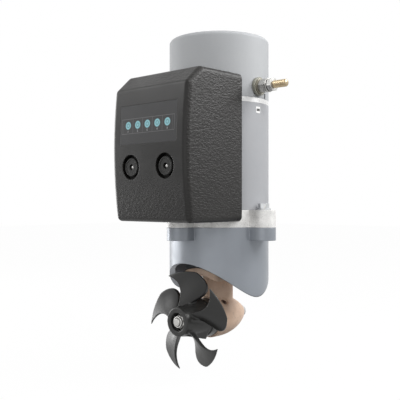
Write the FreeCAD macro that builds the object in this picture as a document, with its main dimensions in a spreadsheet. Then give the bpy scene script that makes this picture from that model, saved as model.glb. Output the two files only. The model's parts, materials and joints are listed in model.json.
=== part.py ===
import FreeCAD, Part
import math
import os
import Sketcher
from FreeCAD import Rotation, Vector

# Electric bow thruster: DC motor with a control box on its front, standing on a saddle bracket,
# with a gear leg and a five-bladed propeller that hang inside the tunnel tube.
# Origin: where the propeller axis (Y) crosses the motor axis (Z). The propeller and the control
# box face -Y and the power terminal faces +X. Lengths are in millimetres, angles in degrees.

sizes = {
    # tunnel that the thruster is fitted to
    "tunnel_bore": 110.0,
    "tunnel_wall": 5.0,
    "saddle_clearance": 0.4,
    "running_gap": 0.3,
    "bond_gap": 0.1,
    # motor stack, from the saddle bracket up
    "motor_diameter": 110.0,
    "casing_wall": 5.0,
    "bracket_top": 99.1,
    "flange_height": 18.1,
    "casing_length": 113.8,
    "band_height": 5.0,
    "cap_height": 68.0,
    "cap_wall": 4.5,
    "cap_rounding": 8.0,
    "cap_slot_height": 5.7,
    "cap_slot_angle": 15.0,
    "cap_slot_half_angle": 2.1,
    # flange ears and their bolts
    "ear_circle": 63.0,
    "ear_radius": 12.7,
    "boss_depth": 13.7,
    "bolt_diameter": 6.0,
    "bolt_hole_gap": 0.3,
    "bolt_length": 28.0,
    "bolt_head_width": 10.0,
    "bolt_head_height": 5.5,
    "bolt_washer_radius": 7.5,
    "bolt_washer_thick": 1.6,
    "spigot_height": 3.0,
    "spigot_wall": 5.0,
    # saddle bracket
    "bracket_wall": 6.0,
    "bracket_ring_wall": 8.0,
    "bracket_web_thick": 6.0,
    "bracket_ring_top": 70.0,
    "leg_bolt_offset": 26.0,
    "leg_bolt_diameter": 8.0,
    "leg_bolt_boss": 9.0,
    "leg_bolt_grip": 7.0,
    "leg_bolt_head_width": 13.0,
    "leg_bolt_head_height": 5.3,
    # gear leg
    "leg_flange_thick": 7.0,
    "leg_flange_half_width": 24.0,
    "leg_flange_half_length": 34.0,
    "leg_flange_corner": 8.0,
    "gasket_thick": 0.8,
    "leg_spigot_radius": 13.0,
    "leg_spigot_top": 74.0,
    "spigot_gap": 0.1,
    "strut_front": 23.0,
    "strut_rear": 20.0,
    "strut_thick": 24.0,
    "strut_edge": 6.0,
    "pod_radius": 22.7,
    "pod_front": 19.0,
    "pod_taper_start": 8.0,
    "pod_tail": 36.0,
    "pod_tail_radius": 7.1,
    "anode_length": 7.6,
    "anode_stud_radius": 3.0,
    "anode_stud_length": 5.0,
    "anode_round": 9.0,
    "chamber_radius": 17.3,
    "chamber_taper": 3.5,
    "chamber_back": 13.0,
    "carrier_length": 8.0,
    "rear_bearing_place": 15.0,
    "bush_place": 23.0,
    "plug_radius": 3.4,
    "plug_angle": 50.2,
    "plug_forward": 7.0,
    "plug_sink": 1.6,
    "plug_depth": 2.6,
    # bearings and seals of the leg
    "small_bearing_bore": 10.0,
    "small_bearing_outer": 19.0,
    "small_bearing_width": 5.0,
    "seal_width": 6.0,
    "prop_seal_width": 4.0,
    "bush_wall": 2.0,
    "bush_length": 12.0,
    # bearings of the motor
    "lower_bearing_bore": 15.0,
    "lower_bearing_outer": 35.0,
    "lower_bearing_width": 11.0,
    "upper_bearing_bore": 12.0,
    "upper_bearing_outer": 32.0,
    "upper_bearing_width": 10.0,
    "bearing_wall": 4.0,
    # motor inside
    "magnet_thick": 7.0,
    "magnet_length": 80.0,
    "magnet_angle": 66.0,
    "air_gap": 0.8,
    "core_length": 68.0,
    "core_slots": 16,
    "slot_width": 5.0,
    "slot_depth": 11.0,
    "end_turn_height": 12.0,
    "commutator_radius": 20.0,
    "commutator_length": 26.0,
    "brush_size": 9.0,
    "brush_length": 14.0,
    "holder_wall": 1.5,
    "through_bolt_diameter": 5.0,
    "through_bolt_circle": 46.5,
    "through_bolt_head": 4.25,
    "through_bolt_head_height": 4.0,
    # power terminal
    "terminal_height": 247.8,
    "terminal_diameter": 8.0,
    "terminal_reach": 37.7,
    "insulator_radius": 9.75,
    "insulator_thick": 3.0,
    "terminal_washer_radius": 8.0,
    "terminal_washer_thick": 1.6,
    "spring_washer_radius": 7.0,
    "spring_washer_thick": 2.0,
    "nut_width": 13.0,
    "nut_height": 6.5,
    "thread_core": 3.6,
    "thread_runout": 0.3,
    "stud_head_half": 6.5,
    "stud_head_thick": 4.0,
    # control box
    "box_half_width": 54.5,
    "box_back": 25.8,
    "box_bottom": 105.4,
    "box_wall": 3.0,
    "front_bow_radius": 481.2,
    "front_bow_depth": 108.53,
    "front_bow_height": 180.3,
    "chamfer_gap": 17.3,
    "chamfer_rise": 16.7,
    "chamfer_back": 86.2,
    "box_rounding": 5.5,
    "box_motor_gap": 0.8,
    "recess_radius": 12.75,
    "recess_depth": 7.5,
    "recess_offset": 25.0,
    "recess_height": 161.2,
    "recess_boss_wall": 2.5,
    "recess_boss_length": 11.0,
    "cover_screw_head": 9.5,
    "cover_screw_head_height": 4.5,
    "cover_screw_diameter": 6.0,
    "cover_screw_length": 22.0,
    "cover_screw_socket": 6.0,
    "panel_half_width": 41.5,
    "panel_gap": 10.55,
    "panel_height": 40.0,
    "panel_thick": 0.6,
    "base_front": 64.0,
    "base_thick": 3.0,
    "base_half_width": 46.0,
    "base_bottom": 128.0,
    "base_margin": 14.0,
    "base_foot_height": 11.0,
    "base_foot_half_width": 20.0,
    "base_screw_diameter": 5.0,
    "base_screw_offset": 14.0,
    "base_screw_length": 13.5,
    "base_screw_socket": 4.0,
    "post_radius": 6.0,
    "board_gap": 10.53,
    "board_clearance": 1.4,
    "board_thick": 1.6,
    "board_half_width": 36.0,
    "board_margin": 0.5,
    "board_height": 42.0,
    "board_hole_inset": 4.0,
    "board_post_radius": 3.0,
    "board_screw_diameter": 3.0,
    "board_screw_length": 7.0,
    "board_screw_head": 2.0,
    "contactor_width": 62.0,
    "contactor_height": 44.0,
    "contactor_gap": 2.8,
    "contactor_rounding": 2.0,
    "contactor_stud_diameter": 6.0,
    "contactor_stud_side": 20.0,
    "contactor_stud_rise": 14.0,
    "busbar_thick": 2.0,
    "busbar_width": 11.0,
    "busbar_nut_height": 4.0,
    "busbar_nut_width": 10.0,
    "busbar_stud_proud": 1.0,
    # shaft coupling
    "coupling_radius": 15.0,
    "hub_height": 8.0,
    "jaw_height": 6.0,
    "coupling_gap": 1.0,
    "jaw_count": 3,
    "jaw_space": 24.0,
    "spider_arm": 6.0,
    "motor_shaft_end": 12.0,
    # bevel gears
    "pinion_teeth": 12,
    "crown_teeth": 18,
    "gear_module": 1.556,
    "face_width": 6.0,
    "pinion_hub_radius": 6.5,
    "crown_rim_radius": 12.0,
    "tooth_fill": 0.42,
    # propeller
    "blade_count": 5,
    "blade_radius": 52.0,
    "blade_tip_pitch": 88.0,
    "blade_root_pitch": 144.0,
    "blade_tip_front": 54.7,
    "blade_root_front": 63.3,
    "blade_first_angle": 47.0,
    "blade_root_thick": 3.6,
    "blade_tip_thick": 1.4,
    "prop_gap": 1.0,
    "prop_collar_radius": 20.8,
    "prop_collar_length": 11.0,
    "prop_nose_radius": 14.95,
    "prop_nose": 66.0,
    "prop_counterbore": 9.6,
    "prop_counterbore_depth": 8.5,
    "prop_washer_thick": 1.6,
    "prop_shaft_tip": 67.4,
    "drive_pin_radius": 2.0,
    "drive_pin_half": 12.0,
}


class Size:
    # A number together with the sheet formula that gives it.
    def __init__(self, formula, number):
        self.formula = formula
        self.number = number

    def __add__(self, other):
        other = as_size(other)
        return Size(f"({self.formula} + {other.formula})", self.number + other.number)

    def __sub__(self, other):
        other = as_size(other)
        return Size(f"({self.formula} - {other.formula})", self.number - other.number)

    def __mul__(self, other):
        other = as_size(other)
        return Size(f"({self.formula} * {other.formula})", self.number * other.number)

    def __truediv__(self, other):
        other = as_size(other)
        return Size(f"({self.formula} / {other.formula})", self.number / other.number)

    def __neg__(self):
        return Size(f"(0 - {self.formula})", -self.number)

    def __radd__(self, other):
        return as_size(other) + self

    def __rsub__(self, other):
        return as_size(other) - self

    def __rmul__(self, other):
        return as_size(other) * self


def as_size(value):
    if isinstance(value, Size):
        return value
    return Size(f"({value:.9g})", float(value))


def root(value):
    return Size(f"sqrt({value.formula})", math.sqrt(value.number))


def square(value):
    return value * value


doc = FreeCAD.newDocument("bow_thruster")
sheet = doc.addObject("Spreadsheet::Sheet", "dims")
for row, (alias, number) in enumerate(sizes.items(), start=1):
    sheet.set(f"A{row}", alias.replace("_", " "))
    sheet.set(f"B{row}", str(number))
    sheet.setAlias(f"B{row}", alias)
doc.recompute()


class Dimensions:
    pass


d = Dimensions()
for alias, number in sizes.items():
    setattr(d, alias, Size(f"dims.{alias}", float(number)))

# ---------------------------------------------------------------- sketch and feature helpers

planeRoles = {"XY": "XY_Plane", "XZ": "XZ_Plane", "YZ": "YZ_Plane"}
axisRoles = {"X": "X_Axis", "Y": "Y_Axis", "Z": "Z_Axis"}


def origin_feature(body, role):
    return next(item for item in body.Origin.OriginFeatures if item.Role == role)


def bind(thing, path, value):
    thing.setExpression(path, as_size(value).formula)


def pin_point(sketch, edge, end, place):
    # Fixes one point of an edge at a place, both coordinates driven by the sheet.
    for kind, value in zip(("DistanceX", "DistanceY"), place):
        value = as_size(value)
        index = sketch.addConstraint(Sketcher.Constraint(kind, -1, 1, edge, end, value.number))
        bind(sketch, f"Constraints[{index}]", value)


def circle(x, y, radius):
    def draw(sketch):
        centre = Vector(as_size(x).number, as_size(y).number, 0)
        size = as_size(radius)
        edge = sketch.addGeometry(Part.Circle(centre, Vector(0, 0, 1), size.number))
        pin_point(sketch, edge, 3, (x, y))
        index = sketch.addConstraint(Sketcher.Constraint("Radius", edge, size.number))
        bind(sketch, f"Constraints[{index}]", size)
    return draw


class Arc:
    # Stands between two points of an outline: the edge there is an arc of this radius.
    # side is +1 when its centre lies to the left of the way along the outline, -1 to the right.
    def __init__(self, radius, side):
        self.radius = as_size(radius)
        self.side = side


def arc_edge(start, end, arc):
    # Circle arc between two points, shorter way round, always drawn anticlockwise.
    half = (end - start) * 0.5
    radius = arc.radius.number
    rise = math.sqrt(max(radius * radius - half.Length * half.Length, 0.0))
    left = Vector(-half.y, half.x, 0)
    left.normalize()
    centre = start + half + left * (rise * arc.side)
    middle = start + half - centre
    if middle.Length < 1e-6:
        middle = left * -arc.side
    middle.normalize()
    if arc.side < 0:
        start, end = end, start
    return Part.Arc(start, centre + middle * radius, end)


def outline(*items):
    # Closed outline of points, with straight edges or an Arc between them.
    def draw(sketch):
        points = [item for item in items if not isinstance(item, Arc)]
        bends = {}
        count = 0
        for item in items:
            if isinstance(item, Arc):
                bends[count - 1] = item
            else:
                count += 1
        places = [Vector(as_size(x).number, as_size(y).number, 0) for x, y in points]
        edges = []
        starts = []
        for index, start in enumerate(places):
            end = places[(index + 1) % len(places)]
            if index in bends:
                edge = sketch.addGeometry(arc_edge(start, end, bends[index]))
                starts.append(1 if bends[index].side > 0 else 2)
            else:
                edge = sketch.addGeometry(Part.LineSegment(start, end))
                starts.append(1)
            edges.append(edge)
        for index, edge in enumerate(edges):
            follower = (index + 1) % len(edges)
            finish = 2 if starts[index] == 1 else 1
            sketch.addConstraint(
                Sketcher.Constraint("Coincident", edge, finish, edges[follower], starts[follower]))
        for index, place in enumerate(points):
            pin_point(sketch, edges[index], starts[index], place)
        for index, bend in bends.items():
            number = sketch.addConstraint(
                Sketcher.Constraint("Radius", edges[index], bend.radius.number))
            bind(sketch, f"Constraints[{number}]", bend.radius)
    return draw


def rectangle(left, right, bottom, top):
    return outline((left, bottom), (right, bottom), (right, top), (left, top))


def hexagon(x, y, width, turn=0.0):
    # Regular hexagon with the given width across flats.
    reach = width / math.sqrt(3)
    corners = []
    for step in range(6):
        angle = math.radians(turn + 60 * step)
        corners.append((x + reach * math.cos(angle), y + reach * math.sin(angle)))
    return outline(*corners)


class Piece:
    # One sub-part: a PartDesign body whose features follow the sheet.
    def __init__(self, name):
        self.body = doc.addObject("PartDesign::Body", name)
        self.body.Label = name
        self.last = None

    def sketch(self, plane, loops, offset=0.0, tilt=None):
        sketch = self.body.newObject("Sketcher::SketchObject", self.body.Label + "_sketch")
        sketch.AttachmentSupport = [(origin_feature(self.body, planeRoles[plane]), "")]
        sketch.MapMode = "FlatFace"
        tilt = tilt or Rotation()
        sketch.AttachmentOffset = FreeCAD.Placement(Vector(0, 0, 0), tilt)
        normal = tilt.multVec(Vector(0, 0, 1))
        for letter, share in zip("xyz", normal):
            if abs(share) > 1e-9:
                bind(sketch, "AttachmentOffset.Base." + letter, as_size(offset) * share)
        for loop in loops:
            loop(sketch)
        return sketch

    def finish(self, feature):
        self.last = feature
        doc.recompute([feature])
        return feature

    def turn(self, axis, *loops, cut=False):
        # Turned shape: loops are (radius, height) outlines about the Z or the Y axis.
        sketch = self.sketch({"Z": "XZ", "Y": "XY"}[axis], loops)
        kind = "PartDesign::Groove" if cut else "PartDesign::Revolution"
        feature = self.body.newObject(kind, self.body.Label + "_turn")
        feature.Profile = sketch
        feature.ReferenceAxis = (sketch, ["V_Axis"])
        feature.Angle = 360.0
        return self.finish(feature)

    def block(self, plane, loops, low, high, cut=False, tilt=None):
        # Straight shape between two levels measured along the plane's positive row axis.
        low = as_size(low)
        high = as_size(high)
        offset = -high if plane == "XZ" else low
        sketch = self.sketch(plane, loops, offset, tilt)
        kind = "PartDesign::Pocket" if cut else "PartDesign::Pad"
        feature = self.body.newObject(kind, self.body.Label + "_block")
        feature.Profile = sketch
        feature.Type = "Length"
        feature.Reversed = cut
        bind(feature, "Length", high - low)
        return self.finish(feature)

    def around(self, axis, count, *features):
        # Repeats features evenly about an axis.
        pattern = self.body.newObject("PartDesign::PolarPattern", self.body.Label + "_pattern")
        pattern.Originals = list(features)
        pattern.Axis = (origin_feature(self.body, axisRoles[axis]), [""])
        pattern.Angle = 360.0
        bind(pattern, "Occurrences", count)
        self.body.Tip = pattern
        return self.finish(pattern)

    def mirror(self, plane, *features):
        mirrored = self.body.newObject("PartDesign::Mirrored", self.body.Label + "_mirror")
        mirrored.Originals = list(features)
        mirrored.MirrorPlane = (origin_feature(self.body, planeRoles[plane]), [""])
        self.body.Tip = mirrored
        return self.finish(mirrored)

    def round_edges(self, radius, picked, kind="Fillet"):
        # Rounds or chamfers the edges that the test function picks.
        names = []
        for index, edge in enumerate(self.last.Shape.Edges, start=1):
            if picked(edge):
                names.append(f"Edge{index}")
        feature = self.body.newObject(f"PartDesign::{kind}", self.body.Label + "_edges")
        feature.Base = (self.last, names)
        bind(feature, "Radius" if kind == "Fillet" else "Size", radius)
        return self.finish(feature)


def ring(inner, outer, low, high):
    return outline((inner, low), (outer, low), (outer, high), (inner, high))


def middle(edge):
    return edge.valueAt((edge.FirstParameter + edge.LastParameter) / 2)



# ---------------------------------------------------------------- levels and radii

leg_seat = d.tunnel_bore / 2
saddle_radius = leg_seat + d.tunnel_wall + d.saddle_clearance
motor_radius = d.motor_diameter / 2
casing_inner = motor_radius - d.casing_wall
flange_top = d.bracket_top + d.flange_height
casing_top = flange_top + d.casing_length
band_top = casing_top + d.band_height
cap_top = band_top + d.cap_height
cap_inner = motor_radius - d.cap_wall
bolt_hole = d.bolt_diameter / 2 + d.bolt_hole_gap

lower_seat = flange_top - d.lower_bearing_width - 2
upper_seat = cap_top - d.cap_wall - d.upper_bearing_width - 1
lower_shaft = d.lower_bearing_bore / 2
upper_shaft = d.upper_bearing_bore / 2
leg_shaft = d.small_bearing_bore / 2
leg_bearing = d.small_bearing_outer / 2

leg_seal_low = d.leg_spigot_top - d.seal_width - 1
leg_bearing_low = leg_seal_low - d.small_bearing_width - 2
leg_hub_low = d.leg_spigot_top + d.coupling_gap
jaw_low = leg_hub_low + d.hub_height
jaw_high = jaw_low + d.jaw_height
motor_hub_top = jaw_high + d.hub_height

pinion_pitch = d.gear_module * d.pinion_teeth / 2
crown_pitch = d.gear_module * d.crown_teeth / 2
cone_distance = root(square(pinion_pitch) + square(crown_pitch))
inner_share = (cone_distance - d.face_width) / cone_distance

pinion_bore = leg_shaft - 1
hub_rear = d.pod_front + d.prop_gap
shaft_step = d.prop_nose - d.prop_counterbore_depth
front_centre = d.front_bow_radius - d.front_bow_depth
recess_floor = d.front_bow_depth - d.recess_depth
boss_back = d.front_bow_depth - d.recess_boss_length - 2
panel_low = d.recess_height + d.recess_radius + d.panel_gap
panel_high = panel_low + d.panel_height
chamfer_low = panel_high + d.chamfer_gap
box_top = chamfer_low + d.chamfer_rise
board_low = panel_low - d.board_margin
board_face = d.front_bow_depth - d.board_gap
contactor_low = d.recess_height + d.post_radius + d.contactor_gap
contactor_face = (board_face - d.board_thick - d.board_clearance - d.busbar_stud_proud
                  - d.busbar_nut_height - d.busbar_thick)
base_top = contactor_low + d.contactor_height + d.base_margin
nut_face = (motor_radius + d.insulator_thick + d.terminal_washer_thick + d.spring_washer_thick
            + d.nut_height)


# ---------------------------------------------------------------- motor body

base_feet = (d.base_bottom + 6, base_top - d.base_foot_height)
base_screw_places = [(side * d.base_screw_offset, foot + d.base_foot_height / 2)
                     for side in (-1, 1) for foot in base_feet]
through_bolt_places = [(side * d.through_bolt_circle * math.sqrt(0.5),
                        side * d.through_bolt_circle * math.sqrt(0.5)) for side in (-1, 1)]


def make_casing():
    piece = Piece("motor_casing")
    piece.turn("Z", ring(casing_inner, motor_radius, flange_top, casing_top))
    holes = [circle(x, z, d.base_screw_diameter / 2) for x, z in base_screw_places]
    piece.block("XZ", holes, -motor_radius - 1, 0, cut=True)


def make_flange():
    # Cast flange at the drive end: bearing pocket, spigots both ways and four bolt ears.
    piece = Piece("drive_end_flange")
    pocket = d.lower_bearing_outer / 2
    spigot = casing_inner - d.bond_gap
    lower_spigot = motor_radius - d.bracket_wall - d.bond_gap
    boss = pocket + d.bearing_wall
    web_low = d.bracket_top + d.spigot_height
    web_high = web_low + 5
    piece.turn("Z", outline(
        (lower_shaft + 1.5, web_low), (lower_spigot - d.spigot_wall, web_low),
        (lower_spigot - d.spigot_wall, d.bracket_top - d.spigot_height),
        (lower_spigot, d.bracket_top - d.spigot_height), (lower_spigot, d.bracket_top),
        (motor_radius, d.bracket_top), (motor_radius, flange_top), (spigot, flange_top),
        (spigot, flange_top + d.spigot_height), (spigot - d.spigot_wall, flange_top + d.spigot_height),
        (spigot - d.spigot_wall, web_high), (boss, web_high), (boss, flange_top),
        (pocket, flange_top), (pocket, lower_seat), (lower_shaft + 1.5, lower_seat)))
    ear = piece.block("XY", [outline(
        (motor_radius - d.spigot_wall, -d.ear_radius), (d.ear_circle, -d.ear_radius),
        Arc(d.ear_radius, 1), (d.ear_circle + d.ear_radius, 0), Arc(d.ear_radius, 1),
        (d.ear_circle, d.ear_radius), (motor_radius - d.spigot_wall, d.ear_radius))],
        d.bracket_top, flange_top)
    piece.around("Z", 4, ear)
    hole = piece.block("XY", [circle(d.ear_circle, 0, bolt_hole)], d.bracket_top, flange_top, cut=True)
    piece.around("Z", 4, hole)
    piece.block("XY", [circle(x, y, d.through_bolt_diameter / 2) for x, y in through_bolt_places],
                web_low, flange_top + d.spigot_height, cut=True)


def make_bracket():
    # Saddle bracket: open tube cut to the tunnel, centre ring on four webs, four bolt bosses.
    piece = Piece("lower_bracket")
    inner = motor_radius - d.bracket_wall
    ring_outer = d.leg_spigot_radius + d.spigot_gap + d.bracket_ring_wall
    piece.turn("Z", ring(inner, motor_radius, 10, d.bracket_top))
    boss = piece.block("XY", [outline(
        (inner + 1, -d.ear_radius), (d.ear_circle, -d.ear_radius), Arc(d.ear_radius, 1),
        (d.ear_circle + d.ear_radius, 0), Arc(d.ear_radius, 1), (d.ear_circle, d.ear_radius),
        (inner + 1, d.ear_radius))],
        d.bracket_top - d.boss_depth, d.bracket_top)
    piece.around("Z", 4, boss)
    tapped = piece.block("XY", [circle(d.ear_circle, 0, d.bolt_diameter / 2)],
                         d.bracket_top - 12, d.bracket_top, cut=True)
    piece.around("Z", 4, tapped)
    piece.block("XY", [circle(0, 0, ring_outer)], 30, d.bracket_ring_top)
    web = piece.block("XY", [rectangle(
        d.leg_spigot_radius + 1, inner + 1, -d.bracket_web_thick / 2, d.bracket_web_thick / 2)],
        10, d.bracket_ring_top)
    piece.around("Z", 4, web)
    piece.block("XY", [circle(0, d.leg_bolt_offset, d.leg_bolt_boss),
                       circle(0, -d.leg_bolt_offset, d.leg_bolt_boss)], 40, d.bracket_ring_top)
    piece.block("XY", [circle(0, 0, d.leg_spigot_radius + d.spigot_gap)],
                30, d.bracket_ring_top, cut=True)
    hole = d.leg_bolt_diameter / 2 + d.bolt_hole_gap
    piece.block("XY", [circle(0, d.leg_bolt_offset, hole), circle(0, -d.leg_bolt_offset, hole)],
                30, d.bracket_ring_top, cut=True)
    piece.block("XZ", [circle(0, 0, saddle_radius)],
                -d.ear_circle - d.ear_radius, d.ear_circle + d.ear_radius, cut=True)


def hex_bolts(name, places, under_head, diameter, length, head_width, head_height, socket=0.0):
    # Bolts standing along Z with their heads up.
    piece = Piece(name)
    for x, y in places:
        piece.block("XY", [circle(x, y, diameter / 2)], under_head - length, under_head)
        if socket:
            head = circle(x, y, head_width / 2)
        else:
            head = hexagon(x, y, head_width, 30)
        piece.block("XY", [head], under_head, under_head + head_height)
        if socket:
            piece.block("XY", [hexagon(x, y, as_size(socket))],
                        under_head + head_height / 2, under_head + head_height, cut=True)
    return piece


def make_flange_bolts():
    ears = [(d.ear_circle, 0), (0, d.ear_circle), (-d.ear_circle, 0), (0, -d.ear_circle)]
    washers = Piece("flange_washers")
    for x, y in ears:
        washers.block("XY", [circle(x, y, d.bolt_washer_radius), circle(x, y, bolt_hole)],
                      flange_top, flange_top + d.bolt_washer_thick)
    hex_bolts("flange_bolts", ears, flange_top + d.bolt_washer_thick, d.bolt_diameter,
              d.bolt_length, d.bolt_head_width, d.bolt_head_height)


def make_cap():
    # Brush-end cap: cup with a rounded top, bearing boss inside and the terminal hole.
    piece = Piece("end_cap")
    pocket = d.upper_bearing_outer / 2
    roof = cap_top - d.cap_wall
    bend = d.cap_rounding
    piece.turn("Z", outline(
        (cap_inner, band_top), (motor_radius, band_top), (motor_radius, cap_top - bend), Arc(bend, 1),
        (motor_radius - bend, cap_top), (0, cap_top), (0, roof), (pocket, roof),
        (pocket, upper_seat), (pocket + d.bearing_wall, upper_seat), (pocket + d.bearing_wall, roof),
        (cap_inner - 4, roof), (cap_inner, roof - 4)))
    piece.block("YZ", [circle(0, d.terminal_height, d.terminal_diameter / 2 + 2)],
                cap_inner - 3, motor_radius + 1, cut=True)
    turn = sizes["cap_slot_angle"]
    half = sizes["cap_slot_half_angle"]
    piece.block("XY", [sector(cap_inner - 1, motor_radius + 1, turn - half, turn + half)],
                band_top, band_top + d.cap_slot_height, cut=True)
    seat = cap_top - d.through_bolt_head_height
    piece.block("XY", [circle(x, y, d.through_bolt_head + 1.5) for x, y in through_bolt_places],
                seat - 10, roof + 1)
    piece.block("XY", [circle(x, y, d.through_bolt_diameter / 2) for x, y in through_bolt_places],
                seat - 10, cap_top, cut=True)
    piece.block("XY", [circle(x, y, d.through_bolt_head) for x, y in through_bolt_places],
                seat, cap_top, cut=True)


def make_through_bolts():
    # Long screws that hold cap, brush plate and flange together between the magnets.
    seat = cap_top - d.through_bolt_head_height
    low = flange_top - 8
    hex_bolts("through_bolts", through_bolt_places, seat, d.through_bolt_diameter, seat - low,
              2 * d.through_bolt_head, d.through_bolt_head_height - 0.5, socket=4.0)


def make_brush_plate():
    # Carrier disc clamped between casing and cap.
    piece = Piece("brush_plate")
    opening = d.commutator_radius + 3
    piece.turn("Z", ring(opening, motor_radius, casing_top, band_top))
    piece.block("XY", [circle(x, y, d.through_bolt_diameter / 2) for x, y in through_bolt_places],
                casing_top, band_top, cut=True)


def make_brushes():
    # Four box holders on the plate with a carbon and a leaf spring in each.
    holders = Piece("brush_holders")
    half = d.brush_size / 2
    outer = half + d.holder_wall
    start = d.commutator_radius + 1.5
    end = start + d.brush_length + 5
    middle_height = band_top + outer
    box = holders.block("YZ", [rectangle(-outer, outer, middle_height - outer, middle_height + outer)],
                        start, end)
    slot = holders.block("YZ", [rectangle(-half, half, middle_height - half, middle_height + half)],
                         start, end, cut=True)
    holders.around("Z", 4, box, slot)
    holders.body.Placement = FreeCAD.Placement(Vector(0, 0, 0), Rotation(Vector(0, 0, 1), 45))
    brushes = Piece("carbon_brushes")
    play = d.bond_gap
    block = brushes.block("YZ", [rectangle(
        -half + play, half - play, middle_height - half, middle_height + half - play)],
        d.commutator_radius + 0.3, d.commutator_radius + 0.3 + d.brush_length)
    brushes.around("Z", 4, block)
    brushes.body.Placement = holders.body.Placement
    springs = Piece("brush_springs")
    back = d.commutator_radius + 0.3 + d.brush_length
    rise = end - back
    leaf = springs.block("XY", [outline(
        (back + rise, -half + 0.5), Arc(half * 1.4, 1), (back + rise, half - 0.5),
        (back + rise - 0.6, half - 0.5), Arc(half * 1.4 - 0.6, -1), (back + rise - 0.6, -half + 0.5))],
        middle_height - 3, middle_height + 3)
    springs.around("Z", 4, leaf)
    springs.body.Placement = holders.body.Placement


def make_magnets():
    piece = Piece("field_magnets")
    outer = casing_inner - d.bond_gap
    inner = outer - d.magnet_thick
    half = d.magnet_angle.number / 2
    cos = math.cos(math.radians(half))
    sin = math.sin(math.radians(half))
    low = flange_top + (d.casing_length - d.magnet_length) / 2
    magnet = piece.block("XY", [outline(
        (inner * cos, -inner * sin), (outer * cos, -outer * sin), Arc(outer, 1),
        (outer * cos, outer * sin), (inner * cos, inner * sin), Arc(inner, -1))],
        low, low + d.magnet_length)
    piece.around("Z", 4, magnet)


# ---------------------------------------------------------------- rotor

def make_armature():
    core_radius = casing_inner - d.bond_gap - d.magnet_thick - d.air_gap
    low = flange_top + (d.casing_length - d.core_length) / 2
    high = low + d.core_length
    shaft = Piece("armature_shaft")
    step = lower_shaft + 2
    shaft.turn("Z", outline(
        (0, jaw_high + 0.5), (d.motor_shaft_end / 2, jaw_high + 0.5),
        (d.motor_shaft_end / 2, motor_hub_top), (lower_shaft, motor_hub_top),
        (lower_shaft, lower_seat + d.lower_bearing_width), (step, lower_seat + d.lower_bearing_width),
        (step, upper_seat - 8), (upper_shaft, upper_seat - 8),
        (upper_shaft, upper_seat + d.upper_bearing_width), (0, upper_seat + d.upper_bearing_width)))
    core = Piece("armature_core")
    core.turn("Z", ring(step, core_radius, low, high))
    slot = core.block("XY", [rectangle(
        core_radius - d.slot_depth, core_radius + 1, -d.slot_width / 2, d.slot_width / 2)],
        low, high, cut=True)
    core.around("Z", d.core_slots, slot)
    coils = Piece("armature_windings")
    bar_outer = core_radius - 1
    bar_inner = core_radius - d.slot_depth
    bar = coils.block("XY", [rectangle(
        bar_inner, bar_outer, -d.slot_width / 2 + 0.2, d.slot_width / 2 - 0.2)], low - 1, high + 1)
    coils.around("Z", d.core_slots, bar)
    for base, tip in ((low, low - d.end_turn_height), (high, high + d.end_turn_height)):
        coils.turn("Z", outline(
            (bar_inner - 5, base), (bar_outer + 0.5, base), (bar_outer - 1, tip),
            (bar_inner - 3, tip)))
    bars = Piece("commutator")
    start = band_top + d.brush_size / 2 + d.holder_wall - d.commutator_length / 2
    bars.turn("Z", outline(
        (step, start - 4), (d.commutator_radius + 2.2, start - 4), (d.commutator_radius + 2.2, start),
        (d.commutator_radius, start), (d.commutator_radius, start + d.commutator_length),
        (step, start + d.commutator_length)))
    cut = bars.block("XY", [rectangle(
        d.commutator_radius - 1.5, d.commutator_radius + 3, -0.5, 0.5)],
        start - 4, start + d.commutator_length, cut=True)
    bars.around("Z", d.core_slots, cut)


def sector(inner, outer, start, end):
    # Flat ring sector between two angles, less than half a turn.
    def at(radius, angle):
        turn = math.radians(angle)
        return (radius * math.cos(turn), radius * math.sin(turn))
    return outline(at(inner, start), at(outer, start), Arc(outer, 1), at(outer, end),
                   at(inner, end), Arc(inner, -1))


def make_coupling():
    # Jaw coupling: two hubs with three jaws each and a six-armed spider between them.
    pitch = 360.0 / sizes["jaw_count"]
    jaw = pitch / 2 - sizes["jaw_space"]
    bore = {"coupling_leg_hub": leg_shaft, "coupling_motor_hub": d.motor_shaft_end / 2}
    level = {"coupling_leg_hub": leg_hub_low, "coupling_motor_hub": jaw_high}
    for name, turn in (("coupling_leg_hub", 0.0), ("coupling_motor_hub", pitch / 2)):
        piece = Piece(name)
        piece.turn("Z", ring(bore[name], d.coupling_radius, level[name], level[name] + d.hub_height))
        inner = d.coupling_radius - 7
        tooth = piece.block("XY", [sector(inner, d.coupling_radius, turn - jaw / 2, turn + jaw / 2)],
                            jaw_low, jaw_high)
        piece.around("Z", d.jaw_count, tooth)
    spider = Piece("coupling_spider")
    spider.turn("Z", ring(leg_shaft + 0.5, leg_shaft + 2.8, jaw_low, jaw_high))
    half = (pitch / 2 - jaw) / 2 - 1
    arm = spider.block("XY", [sector(
        leg_shaft + 2, d.coupling_radius - 0.5, pitch / 4 - half, pitch / 4 + half)], jaw_low, jaw_high)
    spider.around("Z", 2 * d.jaw_count, arm)


def make_drive_shaft():
    piece = Piece("drive_shaft")
    low = crown_pitch * inner_share
    step = d.bush_place - 1
    piece.turn("Z", outline(
        (0, low), (pinion_bore, low), (pinion_bore, step), (leg_shaft, step), (leg_shaft, jaw_low),
        (0, jaw_low)))


# ---------------------------------------------------------------- bearings and seals

def bearing(name, axis, bore, outer, low, width):
    # Sealed ball bearing as its two races with the seals on the outer one.
    third = (outer - bore) / 4
    race = Piece(name + "_outer_race")
    race.turn(axis, outline(
        (bore + third + d.running_gap, low + 0.5), (outer - third, low + 0.5), (outer - third, low),
        (outer, low), (outer, low + width), (outer - third, low + width),
        (outer - third, low + width - 0.5), (bore + third + d.running_gap, low + width - 0.5)))
    inner = Piece(name + "_inner_race")
    inner.turn(axis, ring(bore, bore + third, low, low + width))


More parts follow.
